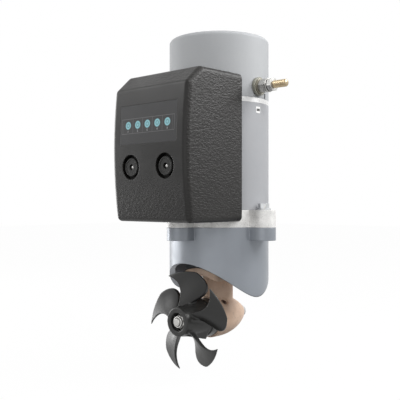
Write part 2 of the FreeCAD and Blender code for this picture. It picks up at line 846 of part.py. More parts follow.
def seal(piece, axis, shaft, outer, low, width):
    # Shaft seal: U-shaped ring whose lip stands just off the shaft.
    piece.turn(axis, outline(
        (shaft + 0.05, low + 1), (shaft + 1.2, low), (outer, low), (outer, low + width),
        (outer - 1.2, low + width), (outer - 1.2, low + 1.5), (shaft + 1.6, low + 1.5),
        (shaft + 0.9, low + width / 2), (shaft + 0.05, low + width / 2)))


# ---------------------------------------------------------------- gear leg

def flange_outline():
    # Rounded rectangle of the leg flange, seen from above.
    wide = d.leg_flange_half_width
    long = d.leg_flange_half_length
    bend = d.leg_flange_corner
    return outline(
        (-wide + bend, -long), (wide - bend, -long), Arc(bend, 1), (wide, -long + bend),
        (wide, long - bend), Arc(bend, 1), (wide - bend, long), (-wide + bend, long), Arc(bend, 1),
        (-wide, long - bend), (-wide, -long + bend), Arc(bend, 1))


def tunnel_slab(piece, inner, outer):
    # Plate bent to the tunnel wall between two radii about the propeller axis.
    reach = d.leg_flange_half_length + 1
    piece.block("XY", [flange_outline()], outer / 2, outer + 1)
    piece.block("XZ", [circle(0, 0, 2 * outer), circle(0, 0, outer)], -reach, reach, cut=True)
    piece.block("XZ", [circle(0, 0, inner)], -reach, reach, cut=True)


def make_leg():
    piece = Piece("gear_leg")
    flange_face = leg_seat - d.gasket_thick
    flange_low = flange_face - d.leg_flange_thick
    tunnel_slab(piece, flange_low, flange_face)
    # strut: blunt-nosed foil between pod and flange
    edge = d.strut_edge / 2
    wide = d.strut_thick / 2
    front_side, rear_side = [Arc((square(run) + square(wide - edge)) / (2 * (wide - edge)), 1)
                             for run in (d.strut_front, d.strut_rear)]
    piece.block("XY", [outline(
        (-edge, -d.strut_front), (edge, -d.strut_front), front_side, (wide, 0), rear_side,
        (edge, d.strut_rear), (-edge, d.strut_rear), rear_side, (-wide, 0), front_side)],
        4, flange_low + d.leg_flange_thick / 2)
    piece.block("XZ", [circle(0, 0, d.prop_collar_radius + d.prop_gap)],
                -d.strut_front - 1, -d.pod_front, cut=True)
    # pod: straight front, ogive tail
    run = d.pod_tail + d.pod_taper_start
    drop = d.pod_radius - d.pod_tail_radius
    tail_bow = (square(run) + square(drop)) / (2 * drop)
    piece.turn("Y", outline(
        (0, -d.pod_front), (d.pod_radius - 1, -d.pod_front), (d.pod_radius, -d.pod_front + 1),
        (d.pod_radius, -d.pod_taper_start), Arc(tail_bow, 1), (d.pod_tail_radius, d.pod_tail),
        (0, d.pod_tail)))
    piece.block("XY", [circle(0, 0, d.leg_spigot_radius)], flange_low + 1, d.leg_spigot_top)
    # gear chamber with the rear bearing pocket, open at the front for the bearing carrier
    rear = d.rear_bearing_place + d.small_bearing_width
    piece.turn("Y", outline(
        (0, -d.pod_front), (d.chamber_radius, -d.pod_front),
        (d.chamber_radius, d.chamber_back - d.chamber_taper),
        (d.chamber_radius - d.chamber_taper, d.chamber_back),
        (leg_bearing, d.chamber_back), (leg_bearing, rear), (leg_shaft + 1, rear),
        (leg_shaft + 1, rear + 2), (0, rear + 2)), cut=True)
    # bore for the upright shaft: bush, clearance, upper bearing and seal pocket
    bush_outer = leg_shaft + d.bush_wall
    bush_top = d.bush_place + d.bush_length
    piece.turn("Z", outline(
        (0, 8), (bush_outer, 8), (bush_outer, bush_top), (leg_shaft + 1, bush_top),
        (leg_shaft + 1, leg_bearing_low), (leg_bearing, leg_bearing_low),
        (leg_bearing, d.leg_spigot_top), (0, d.leg_spigot_top)), cut=True)
    piece.block("XY", [circle(0, d.leg_bolt_offset, d.leg_bolt_diameter / 2),
                       circle(0, -d.leg_bolt_offset, d.leg_bolt_diameter / 2)],
                flange_low - 1, flange_face + 1, cut=True)
    piece.block("XY", [circle(0, -d.plug_forward, d.plug_radius)],
                d.chamber_radius - 1, d.pod_radius + 4, cut=True, tilt=plug_tilt)
    piece.turn("Y", outline(
        (0, d.pod_tail - d.anode_stud_length), (d.anode_stud_radius, d.pod_tail - d.anode_stud_length),
        (d.anode_stud_radius, d.pod_tail), (0, d.pod_tail)), cut=True)


plug_tilt = Rotation(Vector(0, 1, 0), 90 - sizes["plug_angle"])


def make_leg_trim():
    gasket = Piece("leg_gasket")
    tunnel_slab(gasket, leg_seat - d.gasket_thick, leg_seat)
    gasket.block("XY", [circle(0, 0, d.leg_spigot_radius + d.spigot_gap),
                        circle(0, d.leg_bolt_offset, d.leg_bolt_diameter / 2 + d.bolt_hole_gap),
                        circle(0, -d.leg_bolt_offset, d.leg_bolt_diameter / 2 + d.bolt_hole_gap)],
                 leg_seat / 2, leg_seat + 2, cut=True)
    top = d.bracket_ring_top
    hex_bolts("leg_bolts", [(0, d.leg_bolt_offset), (0, -d.leg_bolt_offset)], top,
              d.leg_bolt_diameter, top - leg_seat + d.leg_bolt_grip, d.leg_bolt_head_width,
              d.leg_bolt_head_height)
    plug = Piece("oil_plug")
    high = d.pod_radius - d.plug_sink
    plug.block("XY", [circle(0, -d.plug_forward, d.plug_radius)], high - d.plug_depth, high,
               tilt=plug_tilt)
    plug.block("XY", [hexagon(as_size(0), -d.plug_forward, as_size(3.0))], high - 2, high,
               cut=True, tilt=plug_tilt)
    anode = Piece("tail_anode")
    anode.turn("Y", outline(
        (0, d.pod_tail - d.anode_stud_length), (d.anode_stud_radius, d.pod_tail - d.anode_stud_length),
        (d.anode_stud_radius, d.pod_tail), (d.pod_tail_radius, d.pod_tail), Arc(d.anode_round, 1),
        (1.5, d.pod_tail + d.anode_length), (0, d.pod_tail + d.anode_length)))
    carrier = Piece("bearing_carrier")
    back = -d.pod_front + d.carrier_length
    carrier.turn("Y", outline(
        (leg_bearing, -d.pod_front), (d.chamber_radius, -d.pod_front), (d.chamber_radius, back),
        (leg_bearing, back)))
    bush = Piece("shaft_bush")
    bush.turn("Z", ring(leg_shaft + 0.03, leg_shaft + d.bush_wall, d.bush_place,
                        d.bush_place + d.bush_length))


# ---------------------------------------------------------------- bevel gears

def cone_point(angle, distance, half_width, side):
    # Point on a cone about Z with its tip at the origin, shifted sideways.
    return Vector(distance * math.sin(angle), side * half_width, distance * math.cos(angle))


def bevel_tooth(pitch_angle, sink):
    # One straight bevel tooth standing towards +X, tapering to the apex at the origin.
    outer = cone_distance.number
    module = sizes["gear_module"]
    addendum = 0.8 * module
    dedendum = module
    half = sizes["tooth_fill"] * math.pi * module / 2
    flank = math.tan(math.radians(20))
    low = pitch_angle - math.atan(dedendum / outer) - sink
    high = pitch_angle + math.atan(addendum / outer)
    low_half = half + dedendum * flank
    high_half = half - addendum * flank
    wires = []
    for share in (1.0, inner_share.number):
        corners = [cone_point(low, outer * share, low_half * share, -1),
                   cone_point(high, outer * share, high_half * share, -1),
                   cone_point(high, outer * share, high_half * share, 1),
                   cone_point(low, outer * share, low_half * share, 1)]
        wires.append(Part.makePolygon(corners + corners[:1]))
    return Part.makeLoft(wires, True, True)


def bevel_gear(name, teeth, other_teeth, bore, back_points):
    # Gear blank turned about Z below its root cone, with its teeth fused on.
    pitch_angle = math.atan2(teeth, other_teeth)
    outer = cone_distance.number
    inner = outer * inner_share.number
    root_angle = pitch_angle - math.atan(sizes["gear_module"] / outer)
    profile = [(bore, inner * math.cos(root_angle))]
    for distance in (inner, outer):
        profile.append((distance * math.sin(root_angle), distance * math.cos(root_angle)))
    profile += back_points
    corners = [Vector(radius, 0, height) for radius, height in profile]
    face = Part.Face(Part.makePolygon(corners + corners[:1]))
    blank = face.revolve(Vector(0, 0, 0), Vector(0, 0, 1), 360)
    tooth = bevel_tooth(pitch_angle, math.radians(2))
    step = 360.0 / teeth
    cogs = [tooth.rotated(Vector(0, 0, 0), Vector(0, 0, 1), step * index) for index in range(teeth)]
    gear = doc.addObject("Part::Feature", name)
    gear.Label = name
    gear.Shape = blank.multiFuse(cogs).removeSplitter()
    return gear


def make_gears():
    hub = sizes["pinion_hub_radius"]
    top = sizes["bush_place"] - 1
    bevel_gear("drive_pinion", sizes["pinion_teeth"], sizes["crown_teeth"], pinion_bore.number,
               [(hub, crown_pitch.number + 1.2), (hub, top), (pinion_bore.number, top)])
    crown_hub = leg_bearing.number - 1
    back = sizes["rear_bearing_place"]
    crown = bevel_gear("crown_gear", sizes["crown_teeth"], sizes["pinion_teeth"], leg_shaft.number,
                       [(sizes["crown_rim_radius"], back - 2.8), (crown_hub, back - 2.8),
                        (crown_hub, back), (leg_shaft.number, back)])
    crown.Placement = FreeCAD.Placement(Vector(0, 0, 0), Rotation(Vector(1, 0, 0), -90))


# ---------------------------------------------------------------- propeller

def polar(radius, angle, y=0.0):
    # Point at a radius from the propeller axis, its angle counted from +X towards +Z.
    turn = math.radians(angle)
    return Vector(radius * math.cos(turn), y, radius * math.sin(turn))


def blade_edges(radius):
    # Angles of the hollow and of the bulging blade edge, back from the sharp tip.
    tip = sizes["blade_radius"]
    hollow_share = (radius - 0.567 * tip) / (0.433 * tip)
    hollow = -18 + 18 * hollow_share ** 2
    widest = 0.673 * tip
    if radius > widest:
        bulge = -59.3 + 21.3 * ((radius - widest) / (tip - widest)) ** 2.5
    else:
        bulge = -59.3 + 15.3 * ((widest - radius) / (0.288 * tip)) ** 1.8
    return hollow, bulge


def blade_slab(root_radius):
    # Screw-shaped plate that thins towards the tip, wider than the blade all round.
    corners = ((root_radius - 2, sizes["blade_root_thick"], sizes["blade_root_front"],
                sizes["blade_root_pitch"] / 360),
               (sizes["blade_radius"] + 2, sizes["blade_tip_thick"], sizes["blade_tip_front"],
                sizes["blade_tip_pitch"] / 360))
    wires = []
    for step in range(9):
        angle = 8 - 9.5 * step
        low = []
        high = []
        for radius, thick, start, rise in corners:
            y = -start - rise * angle
            half = thick / 2 / math.cos(math.atan(math.degrees(rise) / radius))
            low.append(polar(radius, angle, y - half))
            high.append(polar(radius, angle, y + half))
        wires.append(Part.makePolygon(low + high[::-1] + low[:1]))
    return Part.makeLoft(wires, True, False)


def make_blade(root_radius):
    # One skewed blade: the screw-shaped plate trimmed to the blade's outline.
    tip = sizes["blade_radius"]
    steps = 8
    radii = [root_radius + (tip - root_radius) * step / steps for step in range(steps + 1)]
    hollow = Part.BSplineCurve()
    hollow.interpolate([polar(radius, blade_edges(radius)[0]) for radius in radii])
    bulge = Part.BSplineCurve()
    bulge.interpolate([polar(radius, blade_edges(radius)[1]) for radius in reversed(radii)])
    edges = [hollow.toShape()]
    for radius, order in ((tip, (0, 1)), (root_radius, (1, 0))):
        start, end = [blade_edges(radius)[side] for side in order]
        arc = Part.Arc(polar(radius, start), polar(radius, (start + end) / 2), polar(radius, end))
        edges.append(arc.toShape())
        if order == (0, 1):
            edges.append(bulge.toShape())
    face = Part.Face(Part.Wire(edges))
    prism = face.extrude(Vector(0, -sizes["prop_nose"], 0))
    return blade_slab(root_radius).common(prism).Solids[0]


def make_propeller():
    collar = sizes["prop_collar_radius"]
    rear = -hub_rear.number
    front = -sizes["prop_nose"]
    nose = sizes["prop_nose_radius"]
    seat = -shaft_step.number
    mouth = sizes["prop_counterbore"]
    profile = [(leg_shaft.number, rear), (collar, rear), (collar, rear - sizes["prop_collar_length"]),
               (collar - 1.2, rear - sizes["prop_collar_length"]), (nose, front), (mouth, front),
               (mouth, seat), (leg_shaft.number, seat)]
    corners = [Vector(radius, y, 0) for radius, y in profile]
    face = Part.Face(Part.makePolygon(corners + corners[:1]))
    hub = face.revolve(Vector(0, 0, 0), Vector(0, 1, 0), 360)
    slot = Part.makeBox(2 * sizes["drive_pin_half"] + 0.6, 7.2, 2 * sizes["drive_pin_radius"],
                        Vector(-sizes["drive_pin_half"] - 0.3, rear - 7, -sizes["drive_pin_radius"]))
    blade = make_blade(nose - 1)
    first = sizes["blade_first_angle"]
    step = 360.0 / sizes["blade_count"]
    blades = [blade.rotated(Vector(0, 0, 0), Vector(0, 1, 0), -(first + step * index))
              for index in range(sizes["blade_count"])]
    propeller = doc.addObject("Part::Feature", "propeller")
    propeller.Label = "propeller"
    propeller.Shape = hub.cut(slot).multiFuse(blades)


def make_prop_shaft():
    shaft = Piece("prop_shaft")
    thread = d.terminal_diameter / 2
    tail = d.rear_bearing_place + d.small_bearing_width
    shaft.turn("Y", outline(
        (0, -d.prop_shaft_tip), (thread - 0.8, -d.prop_shaft_tip), (thread, -d.prop_shaft_tip + 0.8),
        (thread, -shaft_step), (leg_shaft, -shaft_step), (leg_shaft, tail), (0, tail)))
    place = hub_rear + 4
    shaft.block("YZ", [circle(-place, 0, d.drive_pin_radius)], -leg_shaft - 1, leg_shaft + 1, cut=True)
    pin = Piece("drive_pin")
    pin.block("YZ", [circle(-place, 0, d.drive_pin_radius)], -d.drive_pin_half, d.drive_pin_half)
    washer = Piece("prop_washer")
    washer.turn("Y", ring(thread, d.prop_counterbore - 1, -shaft_step - d.prop_washer_thick, -shaft_step))
    nut = Piece("prop_nut")
    high = -shaft_step - d.prop_washer_thick
    nut.block("XZ", [hexagon(as_size(0), as_size(0), d.nut_width, 15), circle(0, 0, thread)],
              high - d.nut_height, high)


# ---------------------------------------------------------------- power terminal

def make_terminal():
    bore = d.terminal_diameter / 2
    height = d.terminal_height
    face = motor_radius
    stud = Piece("terminal_stud")
    half = d.stud_head_half
    clear = nut_face + d.thread_runout
    stud.block("YZ", [circle(0, height, d.thread_core)], cap_inner - d.stud_head_thick, clear)
    stud.block("YZ", [circle(0, height, bore)], clear, face + d.terminal_reach)
    stud.block("YZ", [rectangle(-half, half, height - half, height + half)],
               cap_inner - 2 * d.stud_head_thick, cap_inner - d.stud_head_thick)
    insulator = Piece("terminal_insulator")
    insulator.block("YZ", [circle(0, height, d.insulator_radius), circle(0, height, bore)],
                    face, face + d.insulator_thick)
    insulator.block("YZ", [circle(0, height, bore + 2), circle(0, height, bore)],
                    cap_inner - d.stud_head_thick, face + 1)
    washer = Piece("terminal_washer")
    low = face + d.insulator_thick
    high = low + d.terminal_washer_thick
    washer.block("YZ", [circle(0, height, d.terminal_washer_radius), circle(0, height, bore)], low, high)
    spring = Piece("terminal_spring_washer")
    spring.block("YZ", [circle(0, height, d.spring_washer_radius), circle(0, height, bore)],
                 high, high + d.spring_washer_thick)
    spring.block("YZ", [rectangle(0, d.spring_washer_radius + 1, height - 0.5, height + 0.5)],
                 high, high + d.spring_washer_thick, cut=True)
    nut = Piece("terminal_nut")
    nut.block("YZ", [hexagon(as_size(0), height, d.nut_width), circle(0, height, d.thread_core)],
              high + d.spring_washer_thick, nut_face)


# ---------------------------------------------------------------- control box

def front_at(height, inset=0.0):
    # Y of the bowed front, or of a surface inset behind it, at a height.
    radius = d.front_bow_radius - inset
    return front_centre - root(square(radius) - square(as_size(height) - d.front_bow_height))


def bow(inset=0.0):
    return Arc(d.front_bow_radius - inset, -1)


def box_profile(inset):
    # Side profile of the cover, set in by a wall all round except at the open back.
    low = d.box_bottom + inset
    high = box_top - inset
    return outline(
        (-d.box_back, low), (front_at(low, inset), low), bow(inset),
        (front_at(chamfer_low, inset), chamfer_low - as_size(inset) * 0.4),
        (-d.chamfer_back + as_size(inset) * 0.4, high), (-d.box_back, high))


def make_cover():
    piece = Piece("control_cover")
    wide = d.box_half_width
    piece.block("YZ", [box_profile(0.0)], -wide, wide)
    back = -sizes["box_back"] - 1e-3
    piece.round_edges(d.box_rounding, lambda edge: middle(edge).y < back)
    inner = wide - d.box_wall
    piece.block("YZ", [box_profile(d.box_wall)], -inner, inner, cut=True)
    start = -d.front_bow_depth + 2
    recesses = [(-d.recess_offset, d.recess_height), (d.recess_offset, d.recess_height)]
    piece.block("XZ", [circle(x, z, d.recess_radius + d.recess_boss_wall) for x, z in recesses],
                start, -boss_back)
    piece.block("XZ", [circle(x, z, d.board_post_radius) for x, z in board_holes],
                start + 1, -board_face)
    front = -d.front_bow_depth - 2
    piece.block("XZ", [circle(x, z, d.recess_radius) for x, z in recesses], front, -recess_floor, cut=True)
    piece.block("XZ", [circle(x, z, d.cover_screw_diameter / 2 + 0.3) for x, z in recesses],
                front, -boss_back, cut=True)
    piece.block("XZ", [circle(x, z, d.board_screw_diameter / 2) for x, z in board_holes],
                start + 3, -board_face, cut=True)
    high = panel_high
    piece.block("YZ", [outline(
        (front_at(panel_low, d.panel_thick), panel_low), bow(d.panel_thick),
        (front_at(high, d.panel_thick), high), (front, high), (front, panel_low))],
        -d.panel_half_width, d.panel_half_width, cut=True)
    gap = d.box_motor_gap
    piece.block("XY", [circle(0, 0, motor_radius + gap)], d.box_bottom - 1, box_top + 1, cut=True)
    piece.block("XY", [outline(
        (-d.ear_radius - gap, -motor_radius + 5), (-d.ear_radius - gap, -d.ear_circle),
        Arc(d.ear_radius + gap, 1), (0, -d.ear_circle - d.ear_radius - gap), Arc(d.ear_radius + gap, 1),
        (d.ear_radius + gap, -d.ear_circle), (d.ear_radius + gap, -motor_radius + 5))],
        d.box_bottom - 1, d.box_bottom + d.box_wall + 1, cut=True)


board_holes = [(x, z) for x in (-d.board_half_width + d.board_hole_inset,
                                d.board_half_width - d.board_hole_inset)
               for z in (board_low + d.board_hole_inset,
                         board_low + d.board_height - d.board_hole_inset)]


def make_panel():
    piece = Piece("display_panel")
    low = panel_low + d.bond_gap
    high = panel_high - d.bond_gap
    side = d.panel_half_width - d.bond_gap
    piece.block("YZ", [outline(
        (front_at(low), low), bow(), (front_at(high), high),
        (front_at(high, d.panel_thick), high), Arc(d.front_bow_radius - d.panel_thick, 1),
        (front_at(low, d.panel_thick), low))], -side, side)


def screws_facing_front(name, places, under_head, diameter, length, head_radius, head_height, socket):
    # Screws along Y with their heads towards -Y; under_head is a depth in front of the motor axis.
    piece = Piece(name)
    piece.block("XZ", [circle(x, z, diameter / 2) for x, z in places],
                -under_head, -under_head + length)
    piece.block("XZ", [circle(x, z, head_radius) for x, z in places],
                -under_head - head_height, -under_head)
    piece.block("XZ", [hexagon(x, z, socket) for x, z in places],
                -under_head - head_height, -under_head - head_height / 2, cut=True)


def make_box_inside():
    base = Piece("control_base")
    back = d.base_front - d.base_thick
    base.block("XZ", [rectangle(-d.base_half_width, d.base_half_width, d.base_bottom, base_top)],
               -d.base_front, -back)
    for foot in base_feet:
        base.block("XY", [rectangle(-d.base_foot_half_width, d.base_foot_half_width, -back - 1,
                                    -motor_radius * 0.85)], foot, foot + d.base_foot_height)
    base.block("XY", [circle(0, 0, motor_radius)], d.base_bottom - 1, base_top + 1, cut=True)
    recesses = [(-d.recess_offset, d.recess_height), (d.recess_offset, d.recess_height)]
    base.block("XZ", [circle(x, z, d.post_radius) for x, z in recesses], -boss_back, -back)
    base.block("XZ", [circle(x, z, d.cover_screw_diameter / 2) for x, z in recesses],
               -boss_back, -back, cut=True)
    base.block("XZ", [circle(x, z, d.base_screw_diameter / 2) for x, z in base_screw_places],
               -d.base_front, 0, cut=True)
    screws_facing_front("base_screws", base_screw_places, d.base_front, d.base_screw_diameter,
                        d.base_screw_length, d.base_screw_diameter * 0.85, d.base_screw_diameter,
                        d.base_screw_socket)
    screws_facing_front("cover_screws", recesses, recess_floor, d.cover_screw_diameter,
                        d.cover_screw_length, d.cover_screw_head, d.cover_screw_head_height,
                        d.cover_screw_socket)
    board = Piece("circuit_board")
    board.block("XZ", [rectangle(-d.board_half_width, d.board_half_width, board_low,
                                 board_low + d.board_height)]
                + [circle(x, z, d.board_screw_diameter / 2) for x, z in board_holes],
                -board_face, -board_face + d.board_thick)
    screws = Piece("board_screws")
    rear = -board_face + d.board_thick
    screws.block("XZ", [circle(x, z, d.board_screw_diameter / 2) for x, z in board_holes], rear - d.board_screw_length,
                 rear)
    screws.block("XZ", [circle(x, z, d.board_screw_diameter * 0.9) for x, z in board_holes], rear,
                 rear + d.board_screw_head)
    contactor = Piece("contactor")
    wide = d.contactor_width / 2
    face = contactor_face
    contactor.block("XZ", [rectangle(-wide, wide, contactor_low,
                                     contactor_low + d.contactor_height)], -face, -d.base_front)
    contactor.round_edges(d.contactor_rounding, lambda edge: middle(edge).y < -face.number + 1)
    centre = contactor_low + d.contactor_height / 2
    rows = (centre - d.contactor_stud_rise, centre + d.contactor_stud_rise)
    places = [(side * d.contactor_stud_side, z) for side in (-1, 1) for z in rows]
    stud_low = face + d.busbar_thick + d.busbar_nut_height
    contactor.block("XZ", [circle(x, z, d.contactor_stud_diameter / 2) for x, z in places],
                    -stud_low - d.busbar_stud_proud, -face + 1)
    bars = Piece("busbars")
    reach = d.contactor_stud_side + d.busbar_width / 2
    bars.block("XZ", [rectangle(-reach, reach, z - d.busbar_width / 2, z + d.busbar_width / 2)
                      for z in rows]
               + [circle(x, z, d.contactor_stud_diameter / 2) for x, z in places],
               -face - d.busbar_thick, -face)
    nuts = Piece("busbar_nuts")
    nuts.block("XZ", [hexagon(x, z, d.busbar_nut_width) for x, z in places]
               + [circle(x, z, d.contactor_stud_diameter / 2) for x, z in places],
               -stud_low, -face - d.busbar_thick)


# ---------------------------------------------------------------- build and export

make_casing()
make_flange()
make_bracket()
make_flange_bolts()
make_cap()
make_through_bolts()
make_brush_plate()
make_brushes()
make_magnets()
make_armature()
make_coupling()
make_drive_shaft()
make_leg()
make_leg_trim()
make_gears()
make_propeller()
make_prop_shaft()
make_terminal()
make_cover()
make_panel()
make_box_inside()
bearing("lower_bearing", "Z", lower_shaft, d.lower_bearing_outer / 2, lower_seat, d.lower_bearing_width)
bearing("upper_bearing", "Z", upper_shaft, d.upper_bearing_outer / 2, upper_seat, d.upper_bearing_width)
bearing("leg_bearing", "Z", leg_shaft, leg_bearing, leg_bearing_low, d.small_bearing_width)
bearing("front_bearing", "Y", leg_shaft, leg_bearing, -d.pod_front + d.prop_seal_width,
        d.small_bearing_width)
bearing("rear_bearing", "Y", leg_shaft, leg_bearing, d.rear_bearing_place, d.small_bearing_width)
seals = Piece("shaft_seals")
seal(seals, "Z", leg_shaft, leg_bearing, leg_seal_low, d.seal_width)
seal(seals, "Y", leg_shaft, leg_bearing, -d.pod_front, d.prop_seal_width)

doc.recompute()
for item in doc.Objects:
    if "Invalid" in item.State or "Error" in item.State:
        raise RuntimeError(f"{item.Label} failed: {item.State}")
pieces = [item for item in doc.Objects
          if item.TypeId in ("PartDesign::Body", "Part::Feature")]
for item in pieces:
    if item.Shape.isNull() or not item.Shape.isValid() or not item.Shape.Solids:
        raise RuntimeError(f"{item.Label} has no valid solid")
os.makedirs("parts", exist_ok=True)
for item in pieces:
    item.Shape.exportStep(f"parts/{item.Label}.step")
print(len(pieces), "sub-parts")
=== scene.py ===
import json
import math

import bpy
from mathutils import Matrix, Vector


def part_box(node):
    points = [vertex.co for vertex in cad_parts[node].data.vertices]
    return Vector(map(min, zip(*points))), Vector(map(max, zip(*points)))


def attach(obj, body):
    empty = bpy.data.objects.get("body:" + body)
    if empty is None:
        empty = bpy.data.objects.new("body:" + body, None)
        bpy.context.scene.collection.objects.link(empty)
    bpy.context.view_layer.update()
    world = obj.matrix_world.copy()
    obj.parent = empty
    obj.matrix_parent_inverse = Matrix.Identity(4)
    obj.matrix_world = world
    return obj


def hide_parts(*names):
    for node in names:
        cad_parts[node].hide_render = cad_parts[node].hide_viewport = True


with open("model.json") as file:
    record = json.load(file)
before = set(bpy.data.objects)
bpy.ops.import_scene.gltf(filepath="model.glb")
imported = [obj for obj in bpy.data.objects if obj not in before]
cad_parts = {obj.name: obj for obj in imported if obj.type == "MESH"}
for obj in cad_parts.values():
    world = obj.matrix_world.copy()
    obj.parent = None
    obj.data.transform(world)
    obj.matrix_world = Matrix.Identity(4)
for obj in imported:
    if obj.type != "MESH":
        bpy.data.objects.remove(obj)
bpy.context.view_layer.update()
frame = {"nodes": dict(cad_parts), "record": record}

mm = 0.001
weldGap = 0.002  # mm, between points that a turned piece shares
cadWeldGap = 0.004  # mm, between the loose triangles of a CAD copy
origin = (0, 0, 0)
unturned = (0, 0, 0)
bpy.ops.object.select_all(action="DESELECT")
nodes = frame["nodes"]
slotOf = {part["node"]: part["material_slot"] for part in frame["record"]["subparts"]}


def shade(red, green, blue):
    # A colour as an eye reads it, 0 to 255, turned into the shader's own linear numbers.
    def linear(value):
        value /= 255.0
        return value / 12.92 if value <= 0.04045 else ((value + 0.055) / 1.055) ** 2.4
    return (linear(red), linear(green), linear(blue), 1.0)


class Wire:
    # One output socket, which adds Math nodes when it is used in an expression.
    def __init__(self, finish, socket):
        self.finish = finish
        self.socket = socket

    def maths(self, operation, *values):
        return self.finish.node("ShaderNodeMath", {"operation": operation}, dict(enumerate(values)))

    def __add__(self, other):
        return self.maths("ADD", self, other)

    def __radd__(self, other):
        return self.maths("ADD", other, self)

    def __sub__(self, other):
        return self.maths("SUBTRACT", self, other)

    def __rsub__(self, other):
        return self.maths("SUBTRACT", other, self)

    def __mul__(self, other):
        return self.maths("MULTIPLY", self, other)

    def __rmul__(self, other):
        return self.maths("MULTIPLY", other, self)

    def size(self):
        return self.maths("ABSOLUTE", self)

    def power(self, exponent):
        return self.maths("POWER", self, exponent)

    def larger(self, other):
        return self.maths("MAXIMUM", self, other)

    def wrapped(self, span):
        return self.maths("MODULO", self, span)

    def sine(self):
        return self.maths("SINE", self)

    def rise(self, low, high):
        # 0 below low, 1 above high, and a smooth step between them.
        return self.finish.node("ShaderNodeMapRange", {"interpolation_type": "SMOOTHSTEP"},
                                {"Value": self, "From Min": low, "From Max": high})

    def fall(self, low, high):
        return 1.0 - self.rise(low, high)

    def within(self, low, high, soft):
        return self.rise(low - soft, low + soft) * self.fall(high - soft, high + soft)


class Finish:
    # A material and the few kinds of node it is made from.
    def __init__(self, name):
        self.material = bpy.data.materials.new(name)
        self.material.use_nodes = True
        self.tree = self.material.node_tree
        self.shader = self.tree.nodes["Principled BSDF"]
        self.spot = self.node("ShaderNodeTexCoord", output="Object")

    def node(self, kind, settings=None, inputs=None, output=0):
        made = self.tree.nodes.new(kind)
        for name, value in (settings or {}).items():
            setattr(made, name, value)
        for name, value in (inputs or {}).items():
            if isinstance(value, Wire):
                self.tree.links.new(value.socket, made.inputs[name])
            else:
                made.inputs[name].default_value = value
        return Wire(self, made.outputs[output])

    def axes(self):
        return [self.node("ShaderNodeSeparateXYZ", None, {0: self.spot}, n) for n in range(3)]

    def stretched(self, stretch):
        return self.node("ShaderNodeMapping", None, {"Vector": self.spot, "Scale": stretch})

    def noise(self, scale, detail, rough, stretch=(1, 1, 1), bend=0.0):
        return self.node("ShaderNodeTexNoise", None, {
            "Vector": self.stretched(stretch), "Scale": scale, "Detail": detail,
            "Roughness": rough, "Distortion": bend})

    def cells(self, scale, stretch):
        return self.node("ShaderNodeTexVoronoi", {"feature": "F1"},
                         {"Vector": self.stretched(stretch), "Scale": scale})

    def blend(self, factor, low, high):
        return self.node("ShaderNodeMix", {"data_type": "RGBA"}, {0: factor, 6: low, 7: high}, 2)

    def bump(self, height, distance, under):
        return self.node("ShaderNodeBump", None, {
            "Height": height, "Distance": distance, "Strength": 1.0, "Normal": under})

    def softEdges(self, radius):
        # Rounded-over edges, and a mask that is 1 along them.
        soft = self.node("ShaderNodeBevel", {"samples": layers["edgeSamples"]}, {"Radius": radius})
        face = self.node("ShaderNodeNewGeometry", output="Normal")
        along = self.node("ShaderNodeVectorMath", {"operation": "DOT_PRODUCT"}, {0: soft, 1: face},
                          "Value")
        return soft, (1.0 - along).rise(layers["edgeFrom"], layers["edgeFull"])

    def feed(self, **values):
        for name, value in values.items():
            socket = self.shader.inputs[name.replace("_", " ")]
            if isinstance(value, Wire):
                self.tree.links.new(value.socket, socket)
            else:
                socket.default_value = value


# How the layers of every finish are made: noise detail and roughness, and where each mask starts and ends.
layers = {
    "patchDetail": 4.0, "patchRough": 0.6, "patchFrom": 0.3, "patchFull": 0.7,
    "speckDetail": 2.0, "speckRough": 0.5, "speckFade": 0.12,
    "wornScale": 6, "wornDetail": 3.0, "wornRough": 0.6, "wornFrom": 0.35, "wornFull": 0.7,
    "glossScale": 2.3, "glossDetail": 3.0, "glossRough": 0.6,
    "grainDetail": 3.0, "grainRough": 0.55,
    "edgeSamples": 4, "edgeFrom": 0.01, "edgeFull": 0.22, "shine": 0.5}


def layered(name, look, extra=None):
    # The common build of a finish: colour patches, specks, worn edges, uneven gloss and bumps.
    finish = Finish(name)
    scale = look["patchScale"]
    normal, edge = finish.softEdges(look["edgeRadius"] * mm)
    patches = finish.noise(scale, layers["patchDetail"], layers["patchRough"])
    patches = patches.rise(layers["patchFrom"], layers["patchFull"])
    colour = finish.blend(patches * look["patchShare"], look["colour"], look["patchColour"])
    if "speckColour" in look:
        specks = finish.noise(look["speckScale"], layers["speckDetail"], layers["speckRough"])
        specks = specks.rise(look["speckFrom"], look["speckFrom"] + layers["speckFade"])
        colour = finish.blend(specks * look["speckShare"], colour, look["speckColour"])
    worn = finish.noise(scale * layers["wornScale"], layers["wornDetail"], layers["wornRough"])
    worn = edge * worn.rise(layers["wornFrom"], layers["wornFull"])
    colour = finish.blend(worn * look["edgeShare"], colour, look["edgeColour"])
    shiny, dull = look["gloss"]
    gloss = finish.noise(scale * layers["glossScale"], layers["glossDetail"], layers["glossRough"])
    gloss = gloss.rise(layers["patchFrom"], layers["patchFull"]) * (dull - shiny) + shiny
    for kind, scale, stretch, height in look["bumps"]:
        if kind == "pits":
            relief = finish.cells(scale, stretch)
        else:
            relief = finish.noise(scale, layers["grainDetail"], layers["grainRough"], stretch)
        normal = finish.bump(relief, height * mm, normal)
    if extra:
        colour, gloss, normal = extra(finish, colour, gloss, normal)
    finish.feed(Base_Color=colour, Roughness=gloss, Normal=normal, Metallic=look["metal"],
                Specular_IOR_Level=look.get("shine", layers["shine"]))
    return finish.material


# A bump is (kind, scale, stretch, height in mm); gloss is (smoothest, roughest).
even = (1, 1, 1)

